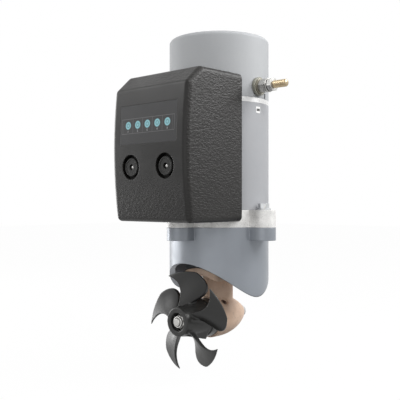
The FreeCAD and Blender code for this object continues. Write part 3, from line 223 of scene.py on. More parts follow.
casingPaint = {
    "colour": shade(171, 172, 175), "patchColour": shade(163, 165, 169), "patchScale": 22, "patchShare": 0.5,
    "edgeColour": shade(205, 206, 208), "edgeShare": 0.35, "gloss": (0.5, 0.6), "metal": 0.0, "shine": 0.3,
    "bumps": [("grain", 260, even, 0.05), ("grain", 500, (1, 1, 0.02), 0.02)], "edgeRadius": 0.6}

capPaint = {
    "colour": shade(176, 178, 180), "patchColour": shade(169, 171, 174), "patchScale": 26, "patchShare": 0.5,
    "edgeColour": shade(206, 207, 208), "edgeShare": 0.2, "gloss": (0.52, 0.62), "metal": 0.0, "shine": 0.3,
    "bumps": [("grain", 230, even, 0.05), ("grain", 420, (1, 1, 0.02), 0.03)], "edgeRadius": 0.8}

bracketPaint = {
    "colour": shade(146, 151, 158), "patchColour": shade(138, 143, 150), "patchScale": 30, "patchShare": 0.5,
    "edgeColour": shade(176, 178, 180), "edgeShare": 0.4, "gloss": (0.28, 0.38), "metal": 0.4,
    "bumps": [("grain", 300, even, 0.03), ("pits", 900, even, 0.01)], "edgeRadius": 1.2}

castAluminium = {
    "colour": shade(236, 235, 233), "patchColour": shade(210, 209, 207),
    "patchScale": 120, "patchShare": 0.75,
    "speckColour": shade(160, 159, 157), "speckScale": 900, "speckFrom": 0.58, "speckShare": 0.5,
    "edgeColour": shade(242, 242, 241), "edgeShare": 0.6, "gloss": (0.42, 0.62), "metal": 0.45,
    "bumps": [("pits", 700, even, 0.16), ("grain", 300, even, 0.12)], "edgeRadius": 0.9}

bandAluminium = {
    "colour": shade(226, 226, 225), "patchColour": shade(210, 210, 210), "patchScale": 60, "patchShare": 0.5,
    "edgeColour": shade(250, 250, 250), "edgeShare": 0.5, "gloss": (0.25, 0.38), "metal": 0.35,
    "bumps": [("grain", 120, (1, 1, 40), 0.02)], "edgeRadius": 0.3}

zincSteel = {
    "colour": shade(196, 198, 200), "patchColour": shade(170, 172, 172), "patchScale": 90, "patchShare": 0.6,
    "speckColour": shade(206, 200, 176), "speckScale": 260, "speckFrom": 0.6, "speckShare": 0.35,
    "edgeColour": shade(225, 226, 228), "edgeShare": 0.6, "gloss": (0.28, 0.46), "metal": 0.85,
    "bumps": [("grain", 700, even, 0.03)], "edgeRadius": 0.4}

stainless = {
    "colour": shade(198, 197, 194), "patchColour": shade(172, 171, 168), "patchScale": 110, "patchShare": 0.5,
    "edgeColour": shade(244, 243, 242), "edgeShare": 0.6, "gloss": (0.2, 0.34), "metal": 0.65,
    "bumps": [("grain", 160, (1, 30, 1), 0.015)], "edgeRadius": 0.35}

springSteel = {
    "colour": shade(140, 139, 134), "patchColour": shade(116, 115, 110), "patchScale": 140, "patchShare": 0.6,
    "edgeColour": shade(205, 205, 203), "edgeShare": 0.5, "gloss": (0.28, 0.42), "metal": 0.9,
    "bumps": [("grain", 500, even, 0.02)], "edgeRadius": 0.25}

bearingSteel = {
    "colour": shade(190, 191, 194), "patchColour": shade(168, 170, 174), "patchScale": 80, "patchShare": 0.5,
    "edgeColour": shade(220, 221, 223), "edgeShare": 0.5, "gloss": (0.16, 0.28), "metal": 1.0,
    "bumps": [("grain", 140, (1, 1, 30), 0.01)], "edgeRadius": 0.3}

coreIron = {
    "colour": shade(118, 118, 120), "patchColour": shade(96, 94, 92), "patchScale": 70, "patchShare": 0.6,
    "edgeColour": shade(150, 150, 150), "edgeShare": 0.4, "gloss": (0.4, 0.58), "metal": 0.8,
    "bumps": [("grain", 30, (1, 1, 70), 0.12)], "edgeRadius": 0.3,
    "sheetRate": 9000.0, "sheetFrom": 0.2, "sheetFull": 0.9, "sheetShare": 0.4,
    "sheetColour": shade(80, 79, 78)}

magnetFerrite = {
    "colour": shade(92, 92, 94), "patchColour": shade(76, 76, 78), "patchScale": 90, "patchShare": 0.6,
    "edgeColour": shade(120, 120, 121), "edgeShare": 0.5, "gloss": (0.55, 0.7), "metal": 0.1,
    "bumps": [("pits", 500, even, 0.05)], "edgeRadius": 0.5}

copper = {
    "colour": shade(208, 138, 104), "patchColour": shade(176, 106, 78), "patchScale": 80, "patchShare": 0.6,
    "edgeColour": shade(228, 168, 136), "edgeShare": 0.5, "gloss": (0.28, 0.42), "metal": 0.95,
    "bumps": [("grain", 60, (1, 1, 20), 0.05)], "edgeRadius": 0.3}

brass = {
    "colour": shade(176, 160, 132), "patchColour": shade(148, 132, 106), "patchScale": 150, "patchShare": 0.5,
    "edgeColour": shade(222, 200, 160), "edgeShare": 0.4, "gloss": (0.2, 0.3), "metal": 0.95,
    "bumps": [("grain", 500, even, 0.015)], "edgeRadius": 0.25}

tinnedBrass = {
    "colour": shade(158, 154, 143), "patchColour": shade(136, 131, 120), "patchScale": 150, "patchShare": 0.6,
    "edgeColour": shade(220, 216, 206), "edgeShare": 0.5, "gloss": (0.26, 0.4), "metal": 0.85,
    "bumps": [("grain", 500, even, 0.015)], "edgeRadius": 0.25}

bronze = {
    "colour": shade(240, 212, 190), "patchColour": shade(222, 190, 165), "patchScale": 55, "patchShare": 0.75,
    "speckColour": shade(188, 162, 144), "speckScale": 380, "speckFrom": 0.6, "speckShare": 0.4,
    "edgeColour": shade(240, 222, 206), "edgeShare": 0.5, "gloss": (0.5, 0.62), "metal": 0.05, "shine": 0.2,
    "bumps": [("grain", 420, even, 0.07), ("grain", 520, (1, 1, 0.08), 0.07)], "edgeRadius": 1.0}

# The oil plug's dark brown is painted shade: it stands for the shadow inside the recess cut for the plug in
# the leg casting.
plugPaintedShade = {
    "colour": shade(112, 88, 74), "patchColour": shade(84, 66, 56), "patchScale": 200, "patchShare": 0.6,
    "edgeColour": shade(150, 122, 104), "edgeShare": 0.4, "gloss": (0.45, 0.6), "metal": 0.3,
    "bumps": [("grain", 420, even, 0.04)], "edgeRadius": 0.4}

anodeZinc = {
    "colour": shade(214, 212, 210), "patchColour": shade(190, 186, 182), "patchScale": 90, "patchShare": 0.7,
    "speckColour": shade(160, 158, 156), "speckScale": 500, "speckFrom": 0.6, "speckShare": 0.4,
    "edgeColour": shade(232, 230, 228), "edgeShare": 0.5, "gloss": (0.42, 0.6), "metal": 0.3,
    "bumps": [("pits", 600, even, 0.08)], "edgeRadius": 0.8}

carbonBlock = {
    "colour": shade(58, 58, 60), "patchColour": shade(44, 44, 46), "patchScale": 300, "patchShare": 0.6,
    "edgeColour": shade(84, 84, 86), "edgeShare": 0.5, "gloss": (0.5, 0.68), "metal": 0.1,
    "bumps": [("pits", 1500, even, 0.03)], "edgeRadius": 0.3}

nitrileRubber = {
    "colour": shade(40, 40, 41), "patchColour": shade(52, 51, 50), "patchScale": 90, "patchShare": 0.5,
    "edgeColour": shade(62, 62, 62), "edgeShare": 0.4, "gloss": (0.6, 0.78), "metal": 0.0,
    "bumps": [("grain", 900, even, 0.03)], "edgeRadius": 0.4}

gasketSheet = {
    "colour": shade(66, 66, 66), "patchColour": shade(52, 52, 52), "patchScale": 200, "patchShare": 0.6,
    "edgeColour": shade(84, 84, 83), "edgeShare": 0.3, "gloss": (0.7, 0.85), "metal": 0.0,
    "bumps": [("pits", 1200, even, 0.04)], "edgeRadius": 0.2}

insulatorPlastic = {
    "colour": shade(150, 149, 138), "patchColour": shade(132, 131, 120), "patchScale": 120, "patchShare": 0.6,
    "edgeColour": shade(176, 175, 166), "edgeShare": 0.4, "gloss": (0.42, 0.55), "metal": 0.0,
    "bumps": [("grain", 800, even, 0.03)], "edgeRadius": 0.4}

propellerPlastic = {
    "colour": shade(40, 40, 39), "patchColour": shade(47, 47, 46), "patchScale": 40, "patchShare": 0.6,
    "edgeColour": shade(104, 104, 102), "edgeShare": 0.6, "gloss": (0.28, 0.38), "metal": 0.0, "shine": 0.4,
    "bumps": [("grain", 160, even, 0.05), ("grain", 1300, even, 0.02)], "edgeRadius": 0.6}

screwPlastic = {
    "colour": shade(46, 46, 45), "patchColour": shade(52, 52, 51), "patchScale": 120, "patchShare": 0.5,
    "edgeColour": shade(84, 84, 83), "edgeShare": 0.5, "gloss": (0.34, 0.48), "metal": 0.0, "shine": 0.15,
    "bumps": [("grain", 700, even, 0.03)], "edgeRadius": 0.5}

boardLacquer = {
    "colour": shade(44, 110, 68), "patchColour": shade(36, 92, 58), "patchScale": 160, "patchShare": 0.6,
    "speckColour": shade(196, 172, 96), "speckScale": 420, "speckFrom": 0.64, "speckShare": 0.8,
    "edgeColour": shade(150, 140, 96), "edgeShare": 0.5, "gloss": (0.2, 0.32), "metal": 0.0,
    "bumps": [("grain", 600, even, 0.02)], "edgeRadius": 0.2}

boxPlastic = {
    "colour": shade(30, 29, 28), "patchColour": shade(34, 33, 32), "patchScale": 18, "patchShare": 0.6,
    "edgeColour": shade(92, 86, 80), "edgeShare": 0.4, "gloss": (0.31, 0.38), "metal": 0.0, "shine": 0.28,
    "bumps": [("grain", 2200, even, 0.012)], "edgeRadius": 0.8,
    "grainScale": 480, "grainDetail": 2.0, "grainRough": 0.45, "grainStretch": (0.55, 0.55, 1.25),
    "grainBend": 0.6, "grainFrom": 0.34, "grainFull": 0.66, "grainHeight": 0.15, "grainShare": 0.25,
    "grainColour": shade(40, 38, 36), "grainDull": 0.04,
    "sideFrom": 0.0524, "sideFull": 0.0539, "topFrom": 0.2405, "topFull": 0.2435,
    "lowFrom": 0.120, "lowEnd": 0.158, "lowShare": 0.7}


def boxGrain(finish, colour, gloss, normal):
    # Leathery moulding grain on the sides, the top slope and the lower front; the rest stays fine and matt.
    look = boxPlastic
    x, _, z = finish.axes()
    sides = x.size().rise(look["sideFrom"], look["sideFull"])
    low = z.fall(look["lowFrom"], look["lowEnd"]) * look["lowShare"]
    top = z.rise(look["topFrom"], look["topFull"])
    where = sides.larger(low).larger(top)
    waves = finish.noise(look["grainScale"], look["grainDetail"], look["grainRough"], look["grainStretch"],
                         look["grainBend"])
    hills = waves.rise(look["grainFrom"], look["grainFull"]) * where
    normal = finish.bump(hills, look["grainHeight"] * mm, normal)
    colour = finish.blend(hills * look["grainShare"], colour, look["grainColour"])
    return colour, gloss + where * look["grainDull"], normal


panelFilm = {
    "colour": shade(64, 64, 65), "patchColour": shade(59, 59, 60), "patchScale": 60, "patchShare": 0.5,
    "edgeColour": shade(104, 104, 105), "edgeShare": 0.3, "gloss": (0.42, 0.5), "metal": 0.0, "shine": 0.2,
    "bumps": [("grain", 2000, even, 0.008)], "edgeRadius": 0.15,
    "discs": 5, "pitch": 14.4, "height": 204.0, "radius": 4.0, "rim": 0.25,
    "discColour": shade(150, 205, 214),
    "ringInner": 1.5, "ringOuter": 2.2, "ringShare": 0.75, "ringColour": shade(84, 120, 128),
    "frameTop": 210.6, "frameLow": 195.6, "frameHalf": 38.5, "line": 0.28, "soft": 0.1,
    "ruleShare": 0.5, "ruleColour": shade(142, 142, 142), "ruleFrom": 0.5, "barFrom": 0.4, "barFull": 0.9}


def panelPrint(finish, colour, gloss, normal):
    # Five pale blue discs, each with a darker ring, in a thin ruled frame with a bar between discs.
    look = panelFilm
    x, _, z = finish.axes()
    span = look["pitch"] * mm
    half = look["discs"] / 2 * span
    soft = look["soft"] * mm
    rim = look["rim"] * mm
    line = look["line"] * mm
    high, low, side = look["frameTop"] * mm, look["frameLow"] * mm, look["frameHalf"] * mm
    barFrom, barFull = line * look["barFrom"], line * look["barFull"]
    inside = x.within(-half, half, soft)
    # Eight more spans keep the wrapped number above 0 all over the piece.
    cell = (x + (half + span * 8)).wrapped(span) - span / 2
    up = z - look["height"] * mm
    away = (cell * cell + up * up).power(0.5)
    disc = away.fall(look["radius"] * mm - rim, look["radius"] * mm + rim) * inside
    ring = away.within(look["ringInner"] * mm, look["ringOuter"] * mm, rim) * inside
    tall = z.within(low, high, soft)
    ruleFrom = line * look["ruleFrom"]
    rules = (z - high).size().fall(ruleFrom, line).larger((z - low).size().fall(ruleFrom, line))
    rules = rules * x.within(-side, side, soft)
    bars = (cell.size() - span / 2).size().fall(barFrom, barFull) * tall * inside
    ends = (x.size() - side).size().fall(barFrom, barFull) * tall
    colour = finish.blend(rules.larger(bars).larger(ends) * look["ruleShare"], colour, look["ruleColour"])
    colour = finish.blend(disc, colour, look["discColour"])
    colour = finish.blend(ring * look["ringShare"], colour, look["ringColour"])
    return colour, gloss, normal


def coreStack(finish, colour, gloss, normal):
    # Edges of the stacked core sheets.
    look = coreIron
    z = finish.axes()[2]
    sheets = (z * look["sheetRate"]).sine().rise(look["sheetFrom"], look["sheetFull"])
    return finish.blend(sheets * look["sheetShare"], colour, look["sheetColour"]), gloss, normal


finishes = {
    "casing_paint": layered("casingPaint", casingPaint),
    "cap_paint": layered("capPaint", capPaint),
    "bracket_paint": layered("bracketPaint", bracketPaint),
    "cast_aluminium": layered("castAluminium", castAluminium),
    "band_aluminium": layered("bandAluminium", bandAluminium),
    "zinc_steel": layered("zincSteel", zincSteel),
    "stainless": layered("stainless", stainless),
    "spring_steel": layered("springSteel", springSteel),
    "bearing_steel": layered("bearingSteel", bearingSteel),
    "core_iron": layered("coreIron", coreIron, coreStack),
    "magnet": layered("magnetFerrite", magnetFerrite),
    "copper": layered("copper", copper),
    "brass": layered("brass", brass),
    "bronze": layered("bronze", bronze),
    "carbon": layered("carbonBlock", carbonBlock),
    "rubber": layered("nitrileRubber", nitrileRubber),
    "gasket": layered("gasketSheet", gasketSheet),
    "insulator": layered("insulatorPlastic", insulatorPlastic),
    "zinc": layered("anodeZinc", anodeZinc),
    "prop_plastic": layered("propellerPlastic", propellerPlastic),
    "box_plastic": layered("boxPlastic", boxPlastic, boxGrain),
    "screw_plastic": layered("screwPlastic", screwPlastic),
    "panel_film": layered("panelFilm", panelFilm, panelPrint),
    "board": layered("boardLacquer", boardLacquer),
}


def dress(thing, material):
    thing.data.materials.clear()
    thing.data.materials.append(material)


for name, node in nodes.items():
    dress(node, finishes[slotOf[name]])
dress(nodes["terminal_washer"], layered("tinnedBrass", tinnedBrass))
# The oil plug gets a dark brown that paints the shade of its recess.
dress(nodes["oil_plug"], layered("plugPaintedShade", plugPaintedShade))
print("finishes on", len(nodes), "nodes")


def active():
    return bpy.context.view_layer.objects.active


def only(thing):
    bpy.ops.object.select_all(action="DESELECT")
    thing.select_set(True)
    bpy.context.view_layer.objects.active = thing


def editing(thing):
    only(thing)
    bpy.ops.object.mode_set(mode="EDIT")
    bpy.ops.mesh.select_all(action="SELECT")


def done():
    bpy.ops.object.mode_set(mode="OBJECT")


def settle(thing, name):
    # Puts a new piece's place into its mesh and names it.
    only(thing)
    thing.name = name
    thing.data.name = name
    bpy.ops.object.transform_apply(location=True, rotation=True, scale=True)
    return thing


def addModifier(thing, kind, **settings):
    only(thing)
    modifier = thing.modifiers.new(kind.lower(), kind)
    for key, value in settings.items():
        setattr(modifier, key, value)
    bpy.ops.object.modifier_apply(modifier=modifier.name)


def cutRound(thing, sides, radius, depth, place, turn):
    # Cuts a round hole whose middle is at the place; turn is in radians.
    bpy.ops.mesh.primitive_cylinder_add(vertices=sides, radius=radius * mm, depth=depth * mm, location=place,
                                        rotation=turn)
    cutter = settle(active(), "cutter")
    addModifier(thing, "BOOLEAN", operation="DIFFERENCE", object=cutter, solver="EXACT")
    bpy.data.objects.remove(cutter)


def joined(things):
    only(things[0])
    for thing in things:
        thing.select_set(True)
    bpy.ops.object.join()
    return active()


def smooth(thing, degrees):
    only(thing)
    bpy.ops.object.shade_smooth_by_angle(angle=math.radians(degrees))


def placed(thing, body, slot, replaced=()):
    dress(thing, finishes[slot])
    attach(thing, body)
    if replaced:
        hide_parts(*replaced)
    print("piece", thing.name)
    return thing


def meshCopy(node, name):
    thing = bpy.data.objects.new(name, nodes[node].data.copy())
    bpy.context.scene.collection.objects.link(thing)
    editing(thing)
    bpy.ops.mesh.remove_doubles(threshold=cadWeldGap * mm)
    done()
    return thing


def lathed(name, profile, tilt, place, steps=72, closed=True):
    # Turned from (out, along) pairs in mm; tilt, in degrees, lays its own Z along the wanted axis.
    # A ring has a closed profile; a solid's starts and ends on the axis and isn't closed.
    bpy.ops.mesh.primitive_circle_add(vertices=len(profile), radius=1.0, location=origin)
    thing = active()
    for corner, (out, along) in zip(thing.data.vertices, profile):
        corner.co = Vector((out * mm, 0, along * mm))
    if not closed:
        last = len(profile) - 1
        for edge in thing.data.edges:
            edge.select = set(edge.vertices) == {0, last}
        for corner in thing.data.vertices:
            corner.select = False
        bpy.ops.object.mode_set(mode="EDIT")
        bpy.ops.mesh.select_mode(type="EDGE")
        bpy.ops.mesh.delete(type="EDGE")
        done()
    addModifier(thing, "SCREW", axis="Z", angle=math.tau, steps=steps, render_steps=steps,
                use_merge_vertices=True, merge_threshold=weldGap * mm)
    editing(thing)
    bpy.ops.mesh.select_mode(type="VERT")
    bpy.ops.mesh.select_all(action="SELECT")
    bpy.ops.mesh.remove_doubles(threshold=weldGap * mm)
    bpy.ops.mesh.normals_make_consistent(inside=False)
    done()
    thing.rotation_euler = [math.radians(turn) for turn in tilt]
    thing.location = [value * mm for value in place]
    return settle(thing, name)


nutForm = {"faceShare": 0.98, "clear": 0.1}  # share of the width left flat, and mm clear of the corners


def hexNut(name, look, tilt, place):
    # A hexagon with the corners of both faces turned off; its low face sits at the place.
    across, thick, chamfer = look["across"], look["thick"], look["chamfer"]
    corner = across / 2 / math.cos(math.radians(30))
    clear = corner + nutForm["clear"]
    face = across / 2 * nutForm["faceShare"]
    bpy.ops.mesh.primitive_cylinder_add(vertices=6, radius=corner * mm, depth=thick * mm,
                                        location=(0, 0, thick / 2 * mm),
                                        rotation=(0, 0, math.radians(look["turn"])))
    nut = settle(active(), name)
    barrel = lathed("barrel", [(0, 0), (face, 0), (clear, chamfer), (clear, thick - chamfer), (face, thick),
                               (0, thick)], unturned, origin, closed=False)
    addModifier(nut, "BOOLEAN", operation="INTERSECT", object=barrel, solver="EXACT")
    bpy.data.objects.remove(barrel)
    nut.rotation_euler = [math.radians(value) for value in tilt]
    nut.location = [value * mm for value in place]
    return settle(nut, name)


def arc(centre, radius, start, end, steps):
    # Points on a quarter turn, in (out, along) pairs.
    return [(centre[0] + radius * math.cos(math.radians(start + (end - start) * n / steps)),
             centre[1] + radius * math.sin(math.radians(start + (end - start) * n / steps)))
            for n in range(steps + 1)]


towardsFront = (90, 0, 0)
towardsRight = (0, 90, 0)


propeller = {
    "voxel": 0.62, "rounds": 5, "pull": 0.55,
    "ridgeSides": 5, "ridgeFront": -59.5, "ridgeRear": -33.0,
    "ridgeFrontRadius": 16.6, "ridgeRearRadius": 24.0, "ridgeTurn": 8.0,
    "boreSides": 48, "boreRadius": 9.8, "boreDeep": 90.0, "smoothUnder": 60}


def hubRidges():
    # Five-sided taper whose corners stand out of the round hub between the blades.
    look = propeller
    length = look["ridgeFront"] - look["ridgeRear"]
    bpy.ops.mesh.primitive_cone_add(
        vertices=look["ridgeSides"], radius1=look["ridgeRearRadius"] * mm,
        radius2=look["ridgeFrontRadius"] * mm, depth=abs(length) * mm, location=origin)
    ridges = active()
    ridges.rotation_euler = (math.radians(90), 0, 0)
    bpy.ops.object.transform_apply(rotation=True)
    ridges.rotation_euler = (0, math.radians(look["ridgeTurn"]), 0)
    ridges.location = (0, (look["ridgeFront"] + look["ridgeRear"]) / 2 * mm, 0)
    return settle(ridges, "hubRidges")


def makePropeller():
    look = propeller
    blades = meshCopy("propeller", "propellerMoulding")
    ridges = hubRidges()
    # The nut's counterbore stays open through the ridges.
    cutRound(ridges, look["boreSides"], look["boreRadius"], look["boreDeep"],
             (0, -look["boreDeep"] / 2 * mm, 0), (math.radians(90), 0, 0))
    whole = joined([blades, ridges])
    addModifier(whole, "REMESH", mode="VOXEL", voxel_size=look["voxel"] * mm)
    addModifier(whole, "SMOOTH", factor=look["pull"], iterations=look["rounds"])
    smooth(whole, look["smoothUnder"])
    whole.name = "propellerMoulding"
    placed(whole, "propeller", "prop_plastic", ["propeller"])


makePropeller()


legCasting = {
    "voxel": 0.7, "rounds": 3, "pull": 0.5, "smoothUnder": 50,
    "faceSides": 40, "faceRadius": 4.7, "faceAngle": 50.2, "faceForward": 7.0, "faceFloor": 21.2,
    "faceReach": 12.0}


def makeLeg():
    look = legCasting
    leg = meshCopy("gear_leg", "gearLegCasting")
    # A round face is cut into the casting where the oil plug sits.
    lean = math.radians(90 - look["faceAngle"])
    away = (look["faceFloor"] + look["faceReach"] / 2) * mm
    place = (away * math.sin(lean), -look["faceForward"] * mm, away * math.cos(lean))
    cutRound(leg, look["faceSides"], look["faceRadius"], look["faceReach"], place, (0, lean, 0))
    addModifier(leg, "REMESH", mode="VOXEL", voxel_size=look["voxel"] * mm)
    addModifier(leg, "SMOOTH", factor=look["pull"], iterations=look["rounds"])
    smooth(leg, look["smoothUnder"])
    placed(leg, "housing", "bronze", ["gear_leg"])


makeLeg()


stud = {
    "start": 68.2, "inner": 46.0, "core": 3.35, "crest": 4.0, "pitch": 1.25, "chamfer": 0.6,
    "chamferSteps": 2, "sides": 40, "threadSteps": 32, "rootSink": 0.15, "toothShare": 0.46,
    "smoothUnder": 35}


def makeStud():
    look = stud
    low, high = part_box("terminal_stud")
    centre = (low.z + high.z) / 2
    tip = high.x
    length = tip - look["inner"] * mm
    bpy.ops.mesh.primitive_cylinder_add(vertices=look["sides"], radius=look["core"] * mm, depth=length,
                                        location=(look["inner"] * mm + length / 2, 0, centre),
                                        rotation=(0, math.radians(90), 0))
    core = settle(active(), "studCore")
    editing(core)
    bpy.ops.mesh.select_mode(type="FACE")
    bpy.ops.mesh.select_all(action="DESELECT")
    done()
    for face in core.data.polygons:
        face.select = face.normal.x > 0.9
    bpy.ops.object.mode_set(mode="EDIT")
    bpy.ops.mesh.bevel(offset=look["chamfer"] * mm, segments=look["chamferSteps"], affect="EDGES")
    done()
    # One tooth of the thread, wound along the stud.
    turns = int((tip - look["start"] * mm) / (look["pitch"] * mm)) - 1
    bpy.ops.mesh.primitive_circle_add(vertices=3, radius=1.0, location=origin)
    tooth = active()
    root = look["core"] - look["rootSink"]
    half = look["pitch"] * look["toothShare"]
    corners = [(-half, root), (0.0, look["crest"]), (half, root)]
    for corner, (along, out) in zip(tooth.data.vertices, corners):
        corner.co = Vector((along * mm, 0, out * mm))
    addModifier(tooth, "SCREW", axis="X", angle=math.tau, screw_offset=look["pitch"] * mm,
                steps=look["threadSteps"], render_steps=look["threadSteps"], iterations=turns,
                use_merge_vertices=False)
    tooth.location = (look["start"] * mm + look["pitch"] * mm, 0, centre)
    settle(tooth, "studThread")
    whole = joined([core, tooth])
    editing(whole)
    bpy.ops.mesh.normals_make_consistent(inside=False)
    done()
    smooth(whole, look["smoothUnder"])
    whole.name = "powerStud"
    placed(whole, "housing", "brass", ["terminal_stud"])


makeStud()


lockNut = {
    "start": 68.1, "gap": 0.8, "washerRadius": 7.4, "washerThick": 1.5, "washerBore": 4.1, "washerEdge": 0.3,
    "washerSmoothUnder": 35, "across": 13.0, "thick": 5.6, "chamfer": 0.9, "turn": 12, "smoothUnder": 30}


def makeLockNut():
    look = lockNut
    low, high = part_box("terminal_nut")
    height = (low.z + high.z) / 2 / mm
    start = look["start"] + look["gap"]
    bore, radius = look["washerBore"], look["washerRadius"]
    thick, edge = look["washerThick"], look["washerEdge"]
    profile = [(bore, 0), (radius - edge, 0), (radius, edge), (radius, thick - edge), (radius - edge, thick),
               (bore, thick)]
    washer = lathed("lockWasher", profile, towardsRight, (start, 0, height))
    smooth(washer, look["washerSmoothUnder"])
    placed(washer, "housing", "stainless")
    nut = hexNut("lockNut", look, towardsRight, (look["start"] + look["gap"] * 2 + thick, 0, height))
    smooth(nut, look["smoothUnder"])
    placed(nut, "housing", "stainless")


makeLockNut()


crown = {
    "radius": 55.03, "top": 304.0, "bend": 4.6, "bendSteps": 16, "inner": 46.6, "under": 1.0, "low": 290.0,
    "skirt": 54.93, "proud": 0.02, "steps": 128, "smoothUnder": 40,
    "boltOut": 32.88, "holeSides": 40, "holeRadius": 5.75, "holeFloor": 300.02, "holeDeep": 10.0}


def makeCrown():
    look = crown
    bend = look["bend"]
    top = look["top"] + look["proud"]
    profile = ([(look["inner"], top)]
               + arc((look["radius"] - bend, top - bend), bend, 90, 0, look["bendSteps"])
               + [(look["skirt"], look["low"]), (look["inner"], look["top"] - look["under"])])
    ring = lathed("capCrown", profile, unturned, origin, look["steps"])
    # The two through-bolt heads stay in their open counterbores.
    for side in (-1, 1):
        out = side * look["boltOut"] * mm
        middle = (look["holeFloor"] + look["holeDeep"] / 2) * mm
        cutRound(ring, look["holeSides"], look["holeRadius"], look["holeDeep"], (out, out, middle), unturned)
    smooth(ring, look["smoothUnder"])
    placed(ring, "housing", "cap_paint")


makeCrown()


coverScrew = {
    "across": 25.0, "height": 161.2, "seat": -101.03, "rear": -79.03, "face": -107.5, "radius": 9.5,
    "shank": 3.0, "chamfer": 0.7, "step": 0.45, "stepRadius": 7.4, "stepSlope": 0.3, "socket": 3.1,
    "socketDepth": 3.4, "pin": 2.0, "dome": 2.3, "domeHigh": 1.9, "domeSteps": 8, "smoothUnder": 35}


def makeCoverScrews():
    look = coverScrew
    rise = look["seat"] - look["face"]
    length = look["rear"] - look["seat"]
    floor = rise - look["socketDepth"]
    profile = [(0, floor), (look["socket"], floor), (look["socket"], rise - look["step"]),
               (look["stepRadius"], rise - look["step"]), (look["stepRadius"] + look["stepSlope"], rise),
               (look["radius"] - look["chamfer"], rise), (look["radius"], rise - look["chamfer"]),
               (look["radius"], 0), (look["shank"], 0), (look["shank"], -length), (0, -length)]
    # A domed steel pin end shows at the bottom of the socket.
    dome = [(out, along * look["domeHigh"] / look["dome"] + floor)
            for out, along in arc((0, 0), look["dome"], 90, 0, look["domeSteps"])]
    dome[0] = (0, dome[0][1])
    dome += [(look["dome"], floor - look["pin"]), (0, floor - look["pin"])]
    heads, pins = [], []
    for side in (-1, 1):
        place = (side * look["across"], look["seat"], look["height"])
        heads.append(lathed("head", profile, towardsFront, place, closed=False))
        pins.append(lathed("pin", dome, towardsFront, place, closed=False))
    for name, slot, things, replaced in (("coverScrewHeads", "screw_plastic", heads, ["cover_screws"]),
                                         ("coverScrewPins", "stainless", pins, [])):
        whole = joined(things)
        whole.name = name
        smooth(whole, look["smoothUnder"])
        placed(whole, "housing", slot, replaced)


makeCoverScrews()


shaftNut = {
    "low": -59.1, "across": 13.0, "thick": 4.2, "chamfer": 0.8, "turn": 15, "smoothUnder": 30,
    "collar": 6.1, "collarHigh": 2.5, "sink": 0.5, "bend": 0.8, "bendSteps": 5, "bore": 4.4, "boreEdge": 0.3}


def makeShaftNut():
    look = shaftNut
    nut = hexNut("nutBody", look, towardsFront, (0, look["low"], 0))
    high, bend, bore, edge = look["collarHigh"], look["bend"], look["bore"], look["boreEdge"]
    profile = ([(bore, -look["sink"]), (look["collar"], -look["sink"])]
               + arc((look["collar"] - bend, high - bend), bend, 0, 90, look["bendSteps"])
               + [(bore + edge, high), (bore, high - edge)])
    collar = lathed("nutCollar", profile, towardsFront, (0, look["low"] - look["thick"], 0))
    whole = joined([nut, collar])
    whole.name = "propellerNut"
    smooth(whole, look["smoothUnder"])
    placed(whole, "propeller", "stainless", ["prop_nut"])


makeShaftNut()


polarity = {"turn": 0.6, "height": 223.3, "side": 6.8, "thick": 0.18, "sink": 0.2, "steps": 10,
            "barSide": 5.0, "barHigh": 2.5, "barProud": 0.1}


def curvedPlate(name, width, high, inner, outer):
    # A thin plate wrapped on the round casing; width and height in mm, inner and outer radius in metres.
    bpy.ops.mesh.primitive_plane_add(size=1.0, location=origin)
    plate = active()
    for corner in plate.data.vertices:
        across = outer if corner.co.x > 0 else inner
        up = high / 2 if corner.co.y > 0 else -high / 2
        corner.co = Vector((across, 0, (polarity["height"] + up) * mm))
    angle = width * mm / outer
    editing(plate)
    bpy.ops.transform.rotate(value=-(math.radians(polarity["turn"]) + angle / 2), orient_axis="Z",
                             orient_type="GLOBAL", center_override=origin)
    bpy.ops.mesh.spin(steps=polarity["steps"], angle=angle, center=origin, axis=(0, 0, 1))
    bpy.ops.mesh.select_all(action="SELECT")
    bpy.ops.mesh.remove_doubles(threshold=weldGap / 2 * mm)
    bpy.ops.mesh.normals_make_consistent(inside=False)
    done()
    return settle(plate, name)


def markFinish(name, colour, worn):
    return layered(name, {
        "colour": colour, "patchColour": worn, "patchScale": 400, "patchShare": 0.5,
        "edgeColour": worn, "edgeShare": 0.4, "gloss": (0.4, 0.5), "metal": 0.0,
        "bumps": [("grain", 2500, even, 0.006)], "edgeRadius": 0.1})


def makePolarity():
    look = polarity
    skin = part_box("motor_casing")[1].x
    face = skin + look["thick"] * mm
    plate = curvedPlate("polarityPlate", look["side"], look["side"], skin - look["sink"] * mm, face)
    bar = curvedPlate("polarityBar", look["barSide"], look["barHigh"], skin, face + look["barProud"] * mm)
    placed(plate, "housing", "panel_film")
    placed(bar, "housing", "panel_film")
    dress(plate, markFinish("markWhite", shade(246, 246, 245), shade(232, 232, 230)))
    dress(bar, markFinish("markBlack", shade(30, 30, 30), shade(46, 46, 46)))


makePolarity()


# The box's front is bowed; bowRadius, bowDepth and bowHeight say where its face lies behind the digits.
numbers = {"size": 3.0, "height": 196.9, "thick": 0.12, "proud": 0.04,
           "bowRadius": 481.2, "bowDepth": 108.53, "bowHeight": 180.3}


